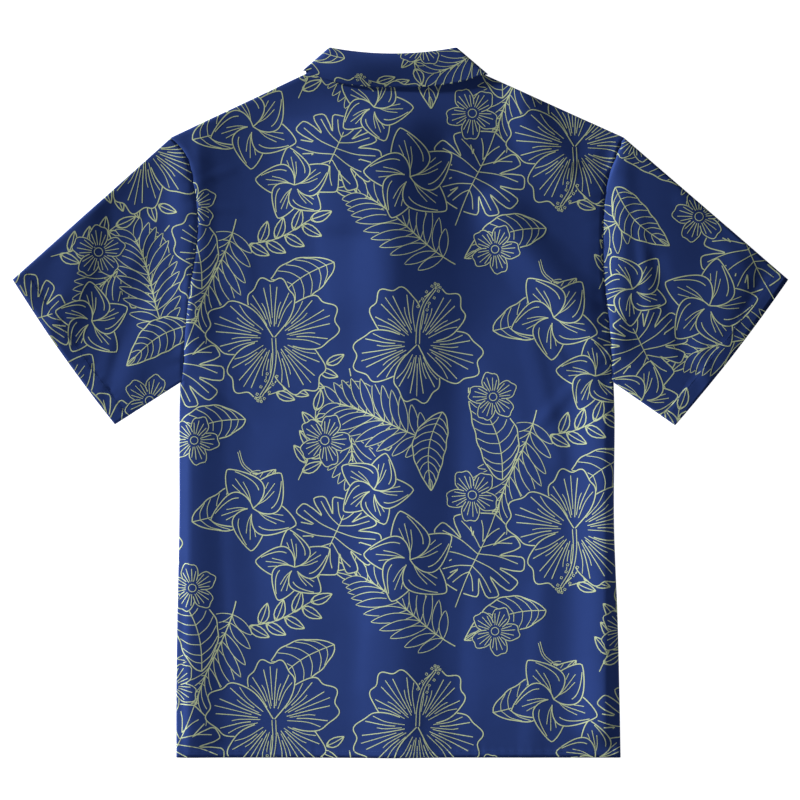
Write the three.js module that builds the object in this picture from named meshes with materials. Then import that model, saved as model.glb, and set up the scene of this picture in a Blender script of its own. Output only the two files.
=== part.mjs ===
// A short-sleeved shirt laid flat on its front, with its back facing up.
// Sizes are millimetres. X runs across the chest, Y from hem to collar, Z up from the surface it lies on.
// Left and right are as seen from above, which are also the wearer's own.
import * as THREE from "three";

// Cloth and layers
const CLOTH = 1; // thickness of every cloth wall
const SEAM_GAP = 0.3; // between two pieces that are sewn together
const LAYER = CLOTH + SEAM_GAP; // from the middle of one wall to the middle of a wall lying on it
const FLOOR_Z = CLOTH / 2; // middle of a wall that lies on the surface
const BACK_Z = 3.6; // middle of the back's wall where no fold lifts it
const INWARD = { left: 1, right: -1 }; // direction along X from a side to the centre

// Corners of the laid-out shirt, as [x, y] on each side
const CENTRE_X = -5;
const HEM_Y = -375.8;
const SHOULDER = { left: [-242.2, 280.4], right: [235.8, 280.4] };
const NECK_SIDE = { left: [-89.6, 353], right: [79, 351.5] };
const UNDERARM = { left: [-232.7, 22], right: [225.3, 22] };
const CUFF_TOP = { left: [-410.3, 129.9], right: [410.3, 129.9] };
const CUFF_UNDER = { left: [-302.6, -22.8], right: [291, -23.9] };
const CUFF_BOW = 2.6; // how far a cuff's edge curves out of its straight line

// The armhole seam on the back, from the shoulder down
const ARMHOLE_ROWS = [
  { y: 280.4, left: -242.2, right: 235.8 },
  { y: 262, left: -227, right: 228.8 },
  { y: 230, left: -219, right: 218 },
  { y: 188, left: -214.5, right: 214.4 },
  { y: 130, left: -221.5, right: 215.4 },
  { y: 80, left: -227, right: 221 },
  { y: 22, left: -231.2, right: 223.8 },
];

// The side's edge, from the underarm down
const SIDE_ROWS = [
  { y: 22, left: -232.7, right: 225.3 },
  { y: -20, left: -233.7, right: 226.3 },
  { y: -125, left: -233.7, right: 225.6 },
  { y: -230, left: -235.9, right: 229.5 },
  { y: -315, left: -236.9, right: 231.6 },
  { y: HEM_Y, left: -236.9, right: 232.7 },
];

// Neck and collar
const BACK_NECK_Y = 337.6; // the back's neck seam on the centre
const FRONT_NECK_Y = 267.7; // the fronts' neck seam on the centre
const FRONT_NECK_POWER = 2.2; // how late the front neckline turns up to the shoulder
const SCOOP = 8; // how much deeper the armhole is cut on a front than on the back
const FOLD = {
  midY: 368.3,
  power: 2,
  corner: { left: [-76.4, 374.6], right: [60.5, 374.6] },
  end: { left: [-6.5, 284], right: [-3.5, 284] },
  endPower: 1.6,
};
const FALL = {
  midY: 333.4,
  power: 3,
  corner: { left: [-102.9, 351.4], right: [92.3, 347.2] },
  end: { left: [-76, 238], right: [66, 238] },
  endPower: 1,
};
const FALL_LIFT = { left: 0.4, right: 3 }; // how far the fall's edge stands off the back at each end

// Front edges and buttons
const EXTENSION = 15; // a front's reach past the centre, where the two overlap
const BUTTON = { radius: 5.75, thickness: 2.5, holeRadius: 0.9, holeOffset: 1.35 };
const BUTTON_TOP_Y = 250;
const BUTTON_PITCH = 98;
const BUTTON_COUNT = 6;

// Where the layers rise and come down again, as distances or heights
const STRIP = { lift: BUTTON.thickness + SEAM_GAP, flat: 8, foot: 26, full: 262, none: 290 };
const OVERLAP = { full: 17, none: 35 }; // where the right front comes down off the left one
const LEAF_MARGIN = { full: 22, none: 52 }; // where a front comes down off the collar's leaf
const RIDGE = { height: 4.4, left: 52, right: 56, full: 275, none: 330 }; // the back over the buttons

// Largest folds of the back and the sleeves: each runs from its upper end to its lower end,
// with its half-width to the left and to the right of that line
const FOLDS = [
  { x1: -221, y1: 20, x2: -223, y2: -350, left: 12, right: 26, height: 2.6 },
  { x1: 211, y1: 0, x2: 212, y2: -330, left: 42, right: 15, height: 4.2 },
  { x1: 97, y1: 181, x2: 212, y2: 34, left: 40, right: 24, height: 3.6 },
  { x1: -42, y1: 318, x2: -24, y2: 120, left: 105, right: 45, height: 2.2 },
  { x1: 134, y1: 318, x2: 165, y2: 262, left: 36, right: 30, height: 2.4 },
  { x1: -226, y1: 250, x2: -222, y2: 80, left: 24, right: 16, height: 2.8 },
  { x1: 217, y1: 236, x2: 216, y2: 84, left: 18, right: 8, height: -1.3 },
  { x1: 228, y1: 244, x2: 228, y2: 84, left: 9, right: 26, height: 2.2 },
  { x1: -258, y1: 92, x2: -286, y2: 28, left: 26, right: 34, height: 2.2 },
  { x1: 366, y1: 178, x2: 340, y2: 58, left: 40, right: 22, height: 2 },
  { x1: -330, y1: 190, x2: -352, y2: 92, left: 34, right: 26, height: 1.6 },
  { x1: 96, y1: -20, x2: 118, y2: -190, left: 44, right: 36, height: -1.2 },
  { x1: -128, y1: -60, x2: -112, y2: -240, left: 40, right: 50, height: 1.5 },
];
const FOLD_END = 46; // how softly a fold dies out past its ends
const CORNER_CLEAR = { near: 8, fade: 34 }; // and none where the seams meet at an underarm
const FALL_CLEAR = { y: 326, off: 104, fade: 30 }; // the back has no folds where the collar's fall lies on it

// How finely the surfaces are divided
const TURN_STEPS = 4; // round an edge where the cloth turns under
const SHOULDER_STEPS = 8;
const NECK_STEPS = 5; // from a shoulder to the centre of the back
const ARMHOLE_Y = [262, 240, 214, 188, 160, 130, 100, 72, 46];
const FRONT_ARMHOLE_STEPS = 8;
const FRONT_NECK_OFFSETS = [35, 26, 17, 8, 0]; // columns beside the centre
const FRONT_NECK_STEPS = 3; // from a shoulder to the first of them
const SIDE_STEPS = 12;
const SLEEVE_STATIONS = [0, 0.07, 0.16, 0.28, 0.42, 0.56, 0.7, 0.85, 1];
const STAND_STEPS = 3;
const FALL_STEPS = 5;
const BUTTON_SEGMENTS = 24;
const HOLE_SEGMENTS = 6;

// Rows and columns that end at a corner, where a seam crosses the turned edge
const PAD = 6; // width of the cloth beside a seam that the turned edge grows out of
const SLIVER = 1; // how far they stand apart at the corner
const FAN = 12; // how far they have opened out once away from it
const FAN_REACH = 40;
const UNDERARM_MITRE = 1.83; // how far the seam runs up for each unit that it runs in from the edge
const NECK_MITRE = 0.7;
const BUMP_END_Y = 30; // above this height the rows follow the shoulders and the neck
const NOTCH_GAP = 1.5; // how fast a seam's gap grows where its walls meet at a sharp angle
const MITRE_LIMIT = 2.2; // a corner's wall reaches at most this many half walls

// Colours
const CLOTH_BLUE = 0x1b3a8c;
const BUTTON_BLUE = 0x1a2b52;

const clamp = (value) => Math.min(1, Math.max(0, value));
const mix = (a, b, t) => a + (b - a) * t;
const mixPair = (a, b, t) => [mix(a[0], b[0], t), mix(a[1], b[1], t)];
const ramp = (value, full, none) => clamp((none - value) / (none - full)); // 1 at full, 0 at none
const bell = (t) => Math.cos((Math.PI / 2) * Math.min(1, Math.abs(t))) ** 2;
const sideOf = (x) => (x < CENTRE_X ? "left" : "right");

// Round a turned edge, turn goes from 0 on the upper layer to half a circle on the lower one.
const onUpper = (turn) => (1 + Math.cos(turn)) / 2;
const inset = (turn) => 1 - Math.sin(turn);

// A smooth curve through a table's rows, read at a height y.
function readTable(rows, y, column) {
  let i = rows.findIndex((row, at) => at < rows.length - 1 && y > rows[at + 1].y);
  if (i < 0) i = rows.length - 2;
  const slope = (at) => {
    const above = rows[Math.max(0, at - 1)];
    const below = rows[Math.min(rows.length - 1, at + 1)];
    return (below[column] - above[column]) / (below.y - above.y);
  };
  const span = rows[i + 1].y - rows[i].y;
  const t = clamp((y - rows[i].y) / span);
  return (
    rows[i][column] * (2 * t ** 3 - 3 * t ** 2 + 1) +
    rows[i + 1][column] * (3 * t ** 2 - 2 * t ** 3) +
    slope(i) * span * (t ** 3 - 2 * t ** 2 + t) +
    slope(i + 1) * span * (t ** 3 - t ** 2)
  );
}

// How high one fold stands at a point: a bell across its line, with soft round ends.
function foldHeight(fold, x, y) {
  const [dx, dy] = [fold.x2 - fold.x1, fold.y2 - fold.y1];
  const length = Math.hypot(dx, dy);
  const along = ((x - fold.x1) * dx + (y - fold.y1) * dy) / length;
  const across = (dx * (y - fold.y1) - dy * (x - fold.x1)) / length;
  const beyond = Math.max(0, -along, along - length);
  return fold.height * bell(Math.hypot(across / (across > 0 ? fold.right : fold.left), beyond / FOLD_END));
}

// Middle of the upper layer's wall: the back and the tops of the sleeves.
function upperZ(x, y) {
  const off = x - CENTRE_X;
  const ridge = RIDGE.height * bell(off / RIDGE[sideOf(x)]) * ramp(y, RIDGE.full, RIDGE.none);
  const clear = Math.max(FALL_CLEAR.y - y, Math.abs(off) - FALL_CLEAR.off) / FALL_CLEAR.fade;
  const [cornerX, cornerY] = UNDERARM[sideOf(x)];
  const away = (Math.hypot(x - cornerX, y - cornerY) - CORNER_CLEAR.near) / CORNER_CLEAR.fade;
  const folds = FOLDS.reduce((height, fold) => height + foldHeight(fold, x, y), 0);
  return BACK_Z + ridge + folds * clamp(clear) * clamp(away);
}

// Distance of a point outside the straight line from one corner of the collar's leaf to the next.
function outsideLine(side, a, b, x, y) {
  const cross = (b[0] - a[0]) * (y - a[1]) - (b[1] - a[1]) * (x - a[0]);
  return (-INWARD[side] * cross) / Math.hypot(b[0] - a[0], b[1] - a[1]);
}

// 1 where the collar's leaf lies under a front, 0 well clear of it.
function leafCover(x, y) {
  const side = sideOf(x);
  const { full, none } = LEAF_MARGIN;
  const outer = outsideLine(side, FALL.corner[side], FALL.end[side], x, y);
  const lower = outsideLine(side, FALL.end[side], FOLD.end[side], x, y);
  return ramp(outer, full, none) * ramp(lower, full, none);
}

// Middle of the lower layer's wall, on the surface or over the collar's leaf.
const lowerZ = (x, y) => FLOOR_Z + LAYER * leafCover(x, y);
const edgeRadius = (x, y) => (upperZ(x, y) - lowerZ(x, y)) / 2;

// Middle of a front's wall, which also rises over the buttons, and on the right over the other front.
function frontZ(x, y, side) {
  const off = x - CENTRE_X;
  const strip = STRIP.lift * ramp(Math.abs(off), STRIP.flat, STRIP.foot) * ramp(y, STRIP.full, STRIP.none);
  const overlap = side === "right" ? LAYER * ramp(off, OVERLAP.full, OVERLAP.none) : 0;
  return lowerZ(x, y) + strip + overlap;
}

// Height that a row at the outer edge reaches on a column whose own top is topY.
function rowY(edgeY, topY) {
  const shoulderY = SHOULDER.left[1];
  return edgeY + (topY - shoulderY) * clamp((edgeY - BUMP_END_Y) / (shoulderY - BUMP_END_Y));
}

// Back

// Columns of one half of the back, from the armhole or side to the neck. pad counts the narrow columns beside
// the edge, turn is how far round the shoulder's edge the column starts, as a share of half a circle.
function halfColumns(side) {
  const columns = [];
  for (let pad = 0; pad < TURN_STEPS; pad++) columns.push({ side, pad, share: 0, turn: 1 });
  for (let i = 0; i < SHOULDER_STEPS; i++)
    columns.push({ side, pad: TURN_STEPS, share: i / SHOULDER_STEPS, turn: 1 });
  for (let i = 0; i <= TURN_STEPS; i++)
    columns.push({ side, pad: TURN_STEPS, share: 1, turn: 1 - i / TURN_STEPS, neck: 0 });
  for (let i = 1; i < NECK_STEPS; i++)
    columns.push({ side, pad: TURN_STEPS, share: 1, turn: 0, neck: i / NECK_STEPS });
  return columns;
}

function backColumns() {
  const centre = { side: "right", pad: TURN_STEPS, share: 1, turn: 0, neck: 1 };
  return [...halfColumns("left"), centre, ...halfColumns("right").reverse()];
}

// Rows of the back: round the shoulder's edge, down the armhole, round the underarm's corner, down the side.
// turn is how far round the side's edge the row starts, as a share of half a circle.
function backRows() {
  const rows = [];
  for (let roll = 0; roll <= TURN_STEPS; roll++)
    rows.push({ kind: "top", roll, edgeY: SHOULDER.left[1], turn: 0 });
  for (const edgeY of ARMHOLE_Y) rows.push({ kind: "armhole", roll: TURN_STEPS, edgeY, turn: 0 });
  for (let i = 0; i <= TURN_STEPS; i++)
    rows.push({ kind: "corner", roll: TURN_STEPS, edgeY: UNDERARM.left[1], turn: i / TURN_STEPS });
  for (let i = 1; i <= SIDE_STEPS; i++)
    rows.push({ kind: "side", roll: TURN_STEPS, turn: 1, down: i / SIDE_STEPS });
  return rows;
}

// Height of the row that starts down a side, at a column: level with the corner's seam at the edge, and
// fanned out below it further in.
function cornerY(side, pad, turn, share) {
  const radius = edgeRadius(...UNDERARM[side]);
  const rise = UNDERARM_MITRE * radius * inset(Math.PI * turn * (1 - pad / TURN_STEPS));
  const fanned = clamp((share * SHOULDER_STEPS * FAN) / FAN_REACH);
  return UNDERARM[side][1] + rise - turn * mix(pad * SLIVER, FAN, fanned);
}

// Where the neck's corner column stands in a row.
function cornerX(side, turn, row) {
  const [x, y] = NECK_SIDE[side];
  const rolled = Math.PI * turn * (1 - row.roll / TURN_STEPS);
  const fanned = row.kind === "top" ? 0 : clamp((SHOULDER.left[1] - (row.edgeY ?? 0)) / FAN_REACH);
  const open = turn * mix(row.roll * SLIVER, FAN, fanned);
  return x + INWARD[side] * (NECK_MITRE * edgeRadius(x, y) * inset(rolled) - open);
}

// The outer edge of a row, and the narrow columns beside it.
function padX(side, pad, row, y) {
  const along = (1 - row.turn) * PAD * (pad / TURN_STEPS);
  if (row.kind === "top" || row.kind === "armhole")
    return readTable(ARMHOLE_ROWS, row.edgeY, side) + INWARD[side] * along;
  const edgeX = readTable(SIDE_ROWS, y, side);
  const rolled = Math.PI * row.turn * (1 - pad / TURN_STEPS);
  return edgeX + INWARD[side] * (edgeRadius(edgeX, y) * inset(rolled) + along);
}

// Height of the shoulder line or the neck seam over a column.
function backTopY(side, x, column) {
  const [neckX, neckY] = NECK_SIDE[side];
  const [shoulderX, shoulderY] = SHOULDER[side];
  if (column.neck > 0) return mix(neckY - edgeRadius(neckX, neckY), BACK_NECK_Y, 1 - (1 - column.neck) ** 2);
  if (column.neck === 0) return neckY;
  return mix(neckY, shoulderY, (x - neckX) / (shoulderX - neckX));
}

function backPoint(row, column) {
  const { side, pad, share, turn } = column;
  const topRow = { kind: "top", roll: TURN_STEPS, edgeY: SHOULDER.left[1], turn: 0 };
  const columnX = (at, y) => {
    const corner = cornerX(side, turn, at);
    if (column.neck > 0) return mix(cornerX(side, 0, at), CENTRE_X, column.neck);
    return mix(padX(side, pad, at, y), corner, share);
  };
  const topY = backTopY(side, columnX(topRow), column);
  const rolled = Math.PI * turn * (1 - row.roll / TURN_STEPS);
  const sideRolled = Math.PI * row.turn * (1 - pad / TURN_STEPS);
  const start = cornerY(side, pad, 1, share);
  let y = rowY(row.edgeY, topY);
  if (row.kind === "corner") y = cornerY(side, pad, row.turn, share);
  if (row.kind === "side") y = mix(start, HEM_Y, row.down);
  const x = columnX(row, y);
  if (row.kind === "top") {
    const seam = column.neck > 0 ? 0 : edgeRadius(x, topY) * inset(rolled);
    y = topY - seam - (1 - turn) * PAD * (row.roll / TURN_STEPS);
  }
  const z = mix(lowerZ(x, y), upperZ(x, y), Math.min(onUpper(rolled), onUpper(sideRolled)));
  return new THREE.Vector3(x, y, z);
}

const columns = backColumns();
const backGrid = backRows().map((row) => columns.map((column) => backPoint(row, column)));

// Rows and columns of the back where its seams meet
const CORNER_ROW = TURN_STEPS + ARMHOLE_Y.length + 1;
const UNDERARM_ROW = CORNER_ROW + TURN_STEPS;
const NECK_COLUMN = TURN_STEPS + SHOULDER_STEPS;
const backAt = (side, row, column) => backGrid[row][side === "left" ? column : columns.length - 1 - column];

// Fronts

// The front's armhole edge, from the shoulder to the underarm, cut deeper than the back's.
function frontArmhole(side) {
  const [top, bottom] = [backAt(side, 0, 0), backAt(side, UNDERARM_ROW, 0)];
  const points = [];
  for (let i = 1; i < FRONT_ARMHOLE_STEPS; i++) {
    const share = i / FRONT_ARMHOLE_STEPS;
    const y = mix(top.y, bottom.y, share);
    const x = readTable(ARMHOLE_ROWS, y, side) + INWARD[side] * SCOOP * Math.sin(Math.PI * share);
    points.push(new THREE.Vector3(x, y, lowerZ(x, y)));
  }
  return points;
}

// A front's top edge: the shoulder seam, the neck seam to the centre, and the extension past it.
function frontTop(side) {
  const shoulder = [backAt(side, 0, 0)];
  for (let column = TURN_STEPS; column <= NECK_COLUMN; column++) shoulder.push(backAt(side, 0, column));
  const corner = shoulder[shoulder.length - 1];
  const reach = Math.abs(corner.x - CENTRE_X);
  const offsets = [];
  for (let i = 1; i < FRONT_NECK_STEPS; i++)
    offsets.push(mix(reach, FRONT_NECK_OFFSETS[0], i / FRONT_NECK_STEPS));
  offsets.push(...FRONT_NECK_OFFSETS, -FRONT_NECK_OFFSETS[3], -EXTENSION);
  const neck = offsets.map((offset) => {
    const x = CENTRE_X - INWARD[side] * offset;
    const y = mix(FRONT_NECK_Y, corner.y, clamp(offset / reach) ** FRONT_NECK_POWER);
    return new THREE.Vector3(x, y, frontZ(x, y, side));
  });
  return [...shoulder, ...neck];
}

function frontGrid(side) {
  const top = frontTop(side);
  const cornerIndex = SHOULDER_STEPS + 1;
  const outer = [...frontArmhole(side)];
  for (let row = UNDERARM_ROW; row < backGrid.length; row++) outer.push(backAt(side, row, 0));
  const rows = outer.map((edge) =>
    top.map((head, index) => {
      if (index === 0) return edge;
      const share = clamp((head.x - top[0].x) / (top[cornerIndex].x - top[0].x));
      const x = index < cornerIndex ? mix(edge.x, top[cornerIndex].x, share) : head.x;
      const y = rowY(edge.y, head.y);
      return new THREE.Vector3(x, y, frontZ(x, y, side));
    }),
  );
  return [top, ...rows];
}

const frontGrids = { left: frontGrid("left"), right: frontGrid("right") };

// Sleeves

// The ring where a sleeve meets the back and the front, from the lower layer at the shoulder round to the
// back, the underarm and the front. along is the share of the way from the shoulder to the underarm.
function armholeRing(side) {
  const upper = [];
  for (let row = 0; row <= UNDERARM_ROW; row++) upper.push(backAt(side, row, 0));
  const lengths = [0];
  for (let row = TURN_STEPS + 1; row <= CORNER_ROW; row++)
    lengths.push(lengths[lengths.length - 1] + upper[row].distanceTo(upper[row - 1]));
  const total = lengths[lengths.length - 1];
  const ring = upper.map((point, row) => {
    if (row < TURN_STEPS) return { point, along: 0, turn: Math.PI * (1 - row / TURN_STEPS) };
    if (row <= CORNER_ROW) return { point, along: lengths[row - TURN_STEPS] / total, turn: 0 };
    return { point, along: 1, turn: (Math.PI * (row - CORNER_ROW)) / TURN_STEPS };
  });
  const front = frontGrids[side];
  for (let row = FRONT_ARMHOLE_STEPS - 1; row > 0; row--)
    ring.push({ point: front[row][0], along: row / FRONT_ARMHOLE_STEPS, turn: Math.PI });
  return ring;
}

// A point of the plain flat tube between shoulder, underarm and cuff.
function tubePoint(side, station, along, turn) {
  const start = mixPair(SHOULDER[side], CUFF_TOP[side], station);
  const end = mixPair(UNDERARM[side], CUFF_UNDER[side], station);
  const length = Math.hypot(end[0] - start[0], end[1] - start[1]);
  const near = edgeRadius(...start) * inset(turn);
  const far = edgeRadius(...end) * inset(turn);
  const bow = CUFF_BOW * station ** 2 * 4 * along * (1 - along);
  const [x, y] = mixPair(start, end, mix(near, length - far, along) / length);
  const [dx, dy] = [(end[0] - start[0]) / length, (end[1] - start[1]) / length];
  return [x + INWARD[side] * dy * bow, y - INWARD[side] * dx * bow];
}

function sleeveGrid(side) {
  const ring = armholeRing(side);
  return SLEEVE_STATIONS.map((station) =>
    ring.map(({ point, along, turn }) => {
      if (station === 0) return point;
      const [baseX, baseY] = tubePoint(side, 0, along, turn);
      const [plainX, plainY] = tubePoint(side, station, along, turn);
      const x = plainX + (point.x - baseX) * (1 - station) ** 2;
      const y = plainY + (point.y - baseY) * (1 - station) ** 2;
      return new THREE.Vector3(x, y, mix(FLOOR_Z, upperZ(x, y), onUpper(turn)));
    }),
  );
}

// Collar

// Columns of the collar, along the neck seam from the left front's centre over the back to the right front's.
function neckRing() {
  const ring = [];
  const frontNeck = (side) => {
    const from = SHOULDER_STEPS + 2;
    const to = frontGrids[side][0].length - 2;
    const points = frontGrids[side][0].slice(from, to);
    return points.map((point, i) => ({ point, side, part: "front", share: (i + 1) / points.length }));
  };
  ring.push(...frontNeck("left").reverse());
  for (let c = NECK_COLUMN; c < columns.length - NECK_COLUMN; c++) {
    const { side, turn, neck } = columns[c];
    const part = neck > 0 || turn === 0 ? "back" : "turn";
    ring.push({ point: backGrid[0][c], side, part, turn: Math.PI * turn, share: neck });
  }
  ring.push(...frontNeck("right"));
  return ring;
}

// A point of a collar line over one column of the neck. The line runs across the back, turns under at its
// corners and goes on across the fronts to its ends.
function collarLine(line, heights, column) {
  const { side, part, share } = column;
  const { upper, lower, inside } = heights;
  const [cornerX, cornerLineY] = line.corner[side];
  const radius = (upper[side] - lower) / 2;
  const inward = INWARD[side];
  if (part === "turn") {
    const x = cornerX + inward * (inside + radius * inset(column.turn));
    return new THREE.Vector3(x, cornerLineY, mix(lower, upper[side], onUpper(column.turn)));
  }
  const startX = cornerX + inward * (inside + radius);
  if (part === "back") {
    const middleX = (line.corner.left[0] + line.corner.right[0]) / 2;
    const y = mix(line.midY, cornerLineY, (1 - share) ** line.power);
    const z = mix((upper.left + upper.right) / 2, upper[side], (1 - share) ** 2);
    return new THREE.Vector3(mix(startX, middleX, share), y, z);
  }
  const [endX, endY] = line.end[side];
  const y = mix(endY, cornerLineY, (1 - share) ** line.endPower);
  return new THREE.Vector3(mix(startX, endX, share), y, lower);
}

function collarGrid() {
  const ring = neckRing();
  const level = (z) => ({ left: z, right: z });
  const standTop = { upper: level(BACK_Z), lower: FLOOR_Z + LAYER, inside: LAYER };
  const fallTop = { upper: level(BACK_Z + LAYER), lower: FLOOR_Z, inside: 0 };
  const lifted = (side) => BACK_Z + LAYER + FALL_LIFT[side];
  const fallEdge = { upper: { left: lifted("left"), right: lifted("right") }, lower: FLOOR_Z, inside: 0 };
  const rows = [];
  const addRow = (make) => rows.push(ring.map(make));
  for (let i = 0; i < STAND_STEPS; i++)
    addRow((column) => column.point.clone().lerp(collarLine(FOLD, standTop, column), i / STAND_STEPS));
  for (let i = 0; i <= TURN_STEPS; i++) {
    const turn = (Math.PI * i) / TURN_STEPS;
    addRow((column) => {
      const stand = collarLine(FOLD, standTop, column);
      const fall = collarLine(FOLD, fallTop, column);
      const out = stand.clone().sub(column.point).setZ(0).normalize();
      const radius = (LAYER / 2) * Math.sin(turn);
      return stand.lerp(fall, 1 - onUpper(turn)).addScaledVector(out, radius);
    });
  }
  for (let i = 1; i <= FALL_STEPS; i++)
    addRow((column) =>
      collarLine(FOLD, fallTop, column).lerp(collarLine(FALL, fallEdge, column), i / FALL_STEPS),
    );
  return rows;
}

// Walls of cloth

const keyOf = (point) => point.toArray().map((value) => value.toFixed(3)).join();

// Directions of the faces round each point of a grid, added up.
function faceSums(grid, closed) {
  const [rowCount, width] = [grid.length, grid[0].length];
  const sums = grid.map((row) => row.map(() => ({ direction: new THREE.Vector3(), count: 0 })));
  for (let r = 0; r < rowCount - 1; r++)
    for (let c = 0; c < (closed ? width : width - 1); c++) {
      const next = (c + 1) % width;
      const corners = [[r, c], [r + 1, c], [r, next], [r + 1, next]];
      const [a, b, d, e] = corners.map(([i, j]) => grid[i][j]);
      const face = e.clone().sub(a).cross(d.clone().sub(b)).normalize();
      if (face.lengthSq() < 0.5) continue;
      for (const [i, j] of corners) {
        sums[i][j].direction.add(face);
        sums[i][j].count += 1;
      }
    }
  return sums;
}

// One piece of cloth: its grid of points, and outward, +1 or -1, saying which way its faces' directions leave
// the garment.
function cloth(name, grid, outward, closed = false) {
  return { name, grid, outward, closed, sums: faceSums(grid, closed) };
}

// The shared direction at each point where two or more pieces are sewn together.
function sewnPoints(pieces) {
  const sewn = new Map();
  for (const piece of pieces) {
    const seen = new Set();
    piece.grid.forEach((row, r) =>
      row.forEach((point, c) => {
        const inner = r > 0 && r < piece.grid.length - 1 && !piece.closed && c > 0 && c < row.length - 1;
        if (inner || seen.has(keyOf(point))) return;
        seen.add(keyOf(point));
        const at = sewn.get(keyOf(point)) ?? { direction: new THREE.Vector3(), pieces: 0 };
        const own = piece.sums[r][c].direction.clone().normalize();
        at.direction.addScaledVector(own, piece.outward);
        at.pieces += 1;
        sewn.set(keyOf(point), at);
      }),
    );
  }
  return sewn;
}

// The step from a point of a wall's middle surface to its outer face, longer where faces meet at an angle.
function wallStep(sum, count) {
  const length = Math.max(sum.length(), count / MITRE_LIMIT);
  return sum.clone().normalize().multiplyScalar(((CLOTH / 2) * count) / length);
}

// The direction from a point on a grid's edge straight into the grid.
function inwardStep({ grid, closed, sums }, r, c) {
  const [lastRow, lastColumn] = [grid.length - 1, grid[0].length - 1];
  const { direction } = sums[r][c];
  const step = new THREE.Vector3();
  if (r === 0 || r === lastRow) {
    const before = closed && c === 0 ? lastColumn : Math.max(c - 1, 0);
    const after = closed && c === lastColumn ? 0 : Math.min(c + 1, lastColumn);
    const tangent = grid[r][after].clone().sub(grid[r][before]);
    step.addScaledVector(tangent.cross(direction).normalize(), r === 0 ? 1 : -1);
  }
  if (!closed && (c === 0 || c === lastColumn)) {
    const tangent = grid[Math.min(r + 1, lastRow)][c].clone().sub(grid[Math.max(r - 1, 0)][c]);
    step.addScaledVector(tangent.cross(direction).normalize(), c === 0 ? -1 : 1);
  }
  return step;
}

// The two faces of a piece's wall, drawn back from each seam by half the gap.
function wallFaces(piece, sewn) {
  const { grid, outward, sums } = piece;
  const outer = [];
  const inner = [];
  grid.forEach((row, r) =>
    row.forEach((point, c) => {
      const at = sewn.get(keyOf(point));
      const middle = point.clone();
      let step = wallStep(sums[r][c].direction, sums[r][c].count);
      if (at && at.pieces > 1) {
        step = wallStep(at.direction, at.pieces).multiplyScalar(outward);
        const gap = SEAM_GAP / 2 + NOTCH_GAP * (step.length() / (CLOTH / 2) - 1);
        middle.addScaledVector(inwardStep(piece, r, c), gap);
      }
      for (const [face, direction] of [[outer, 1], [inner, -1]]) {
        const corner = middle.clone().addScaledVector(step, direction);
        corner.z = Math.max(corner.z, 0);
        face.push(corner);
      }
    }),
  );
  return { outer, inner };
}

// A closed solid from a piece's two faces and the rims between them.
function wallGeometry(piece, sewn) {
  const { grid, closed } = piece;
  const { outer, inner } = wallFaces(piece, sewn);
  const [rowCount, width] = [grid.length, grid[0].length];
  const across = closed ? width : width - 1;
  const out = (r, c) => r * width + (c % width);
  const into = (r, c) => outer.length + out(r, c);
  const faces = [];
  const quad = (a, b, c, d) => faces.push(a, b, c, a, c, d);
  for (let r = 0; r < rowCount - 1; r++)
    for (let c = 0; c < across; c++) {
      quad(out(r, c), out(r + 1, c), out(r + 1, c + 1), out(r, c + 1));
      quad(into(r, c), into(r, c + 1), into(r + 1, c + 1), into(r + 1, c));
    }
  const end = rowCount - 1;
  for (let c = 0; c < across; c++) {
    quad(out(0, c), out(0, c + 1), into(0, c + 1), into(0, c));
    quad(out(end, c + 1), out(end, c), into(end, c), into(end, c + 1));
  }
  for (let r = 0; r < end && !closed; r++) {
    quad(out(r + 1, 0), out(r, 0), into(r, 0), into(r + 1, 0));
    quad(out(r, across), out(r + 1, across), into(r + 1, across), into(r, across));
  }
  const positions = [...outer, ...inner].flatMap((point) => point.toArray());
  const geometry = new THREE.BufferGeometry();
  geometry.setAttribute("position", new THREE.Float32BufferAttribute(positions, 3));
  geometry.setIndex(faces);
  geometry.computeVertexNormals();
  return geometry;
}

// Buttons: a round disc with four holes, lying on the surface under the left front's edge.
function buttonGeometry() {
  const shape = new THREE.Shape().absarc(0, 0, BUTTON.radius, 0, 2 * Math.PI);
  for (let i = 0; i < 4; i++) {
    const angle = Math.PI / 4 + (i * Math.PI) / 2;
    const offset = BUTTON.holeOffset * Math.SQRT2;
    const points = [];
    for (let k = 0; k < HOLE_SEGMENTS; k++) {
      const round = (2 * Math.PI * k) / HOLE_SEGMENTS;
      points.push(
        new THREE.Vector2(
          offset * Math.cos(angle) + BUTTON.holeRadius * Math.cos(round),
          offset * Math.sin(angle) + BUTTON.holeRadius * Math.sin(round),
        ),
      );
    }
    shape.holes.push(new THREE.Path(points));
  }
  const options = { depth: BUTTON.thickness, bevelEnabled: false, curveSegments: BUTTON_SEGMENTS };
  return new THREE.ExtrudeGeometry(shape, options);
}

// The shirt
const pieces = [
  cloth("back", backGrid, 1),
  cloth("front_left", frontGrids.left, -1),
  cloth("front_right", frontGrids.right, 1),
  cloth("sleeve_left", sleeveGrid("left"), 1, true),
  cloth("sleeve_right", sleeveGrid("right"), -1, true),
  cloth("collar", collarGrid(), -1),
];
const sewn = sewnPoints(pieces);

const group = new THREE.Group();
for (const piece of pieces) {
  const material = new THREE.MeshStandardMaterial({ color: CLOTH_BLUE, roughness: 0.7, metalness: 0 });
  const mesh = new THREE.Mesh(wallGeometry(piece, sewn), material);
  mesh.name = piece.name;
  group.add(mesh);
}
for (let i = 0; i < BUTTON_COUNT; i++) {
  const material = new THREE.MeshStandardMaterial({ color: BUTTON_BLUE, roughness: 0.35, metalness: 0 });
  const mesh = new THREE.Mesh(buttonGeometry(), material);
  mesh.position.set(CENTRE_X, BUTTON_TOP_Y - i * BUTTON_PITCH, 0);
  mesh.name = `button_${i + 1}`;
  group.add(mesh);
}

export default group;
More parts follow.
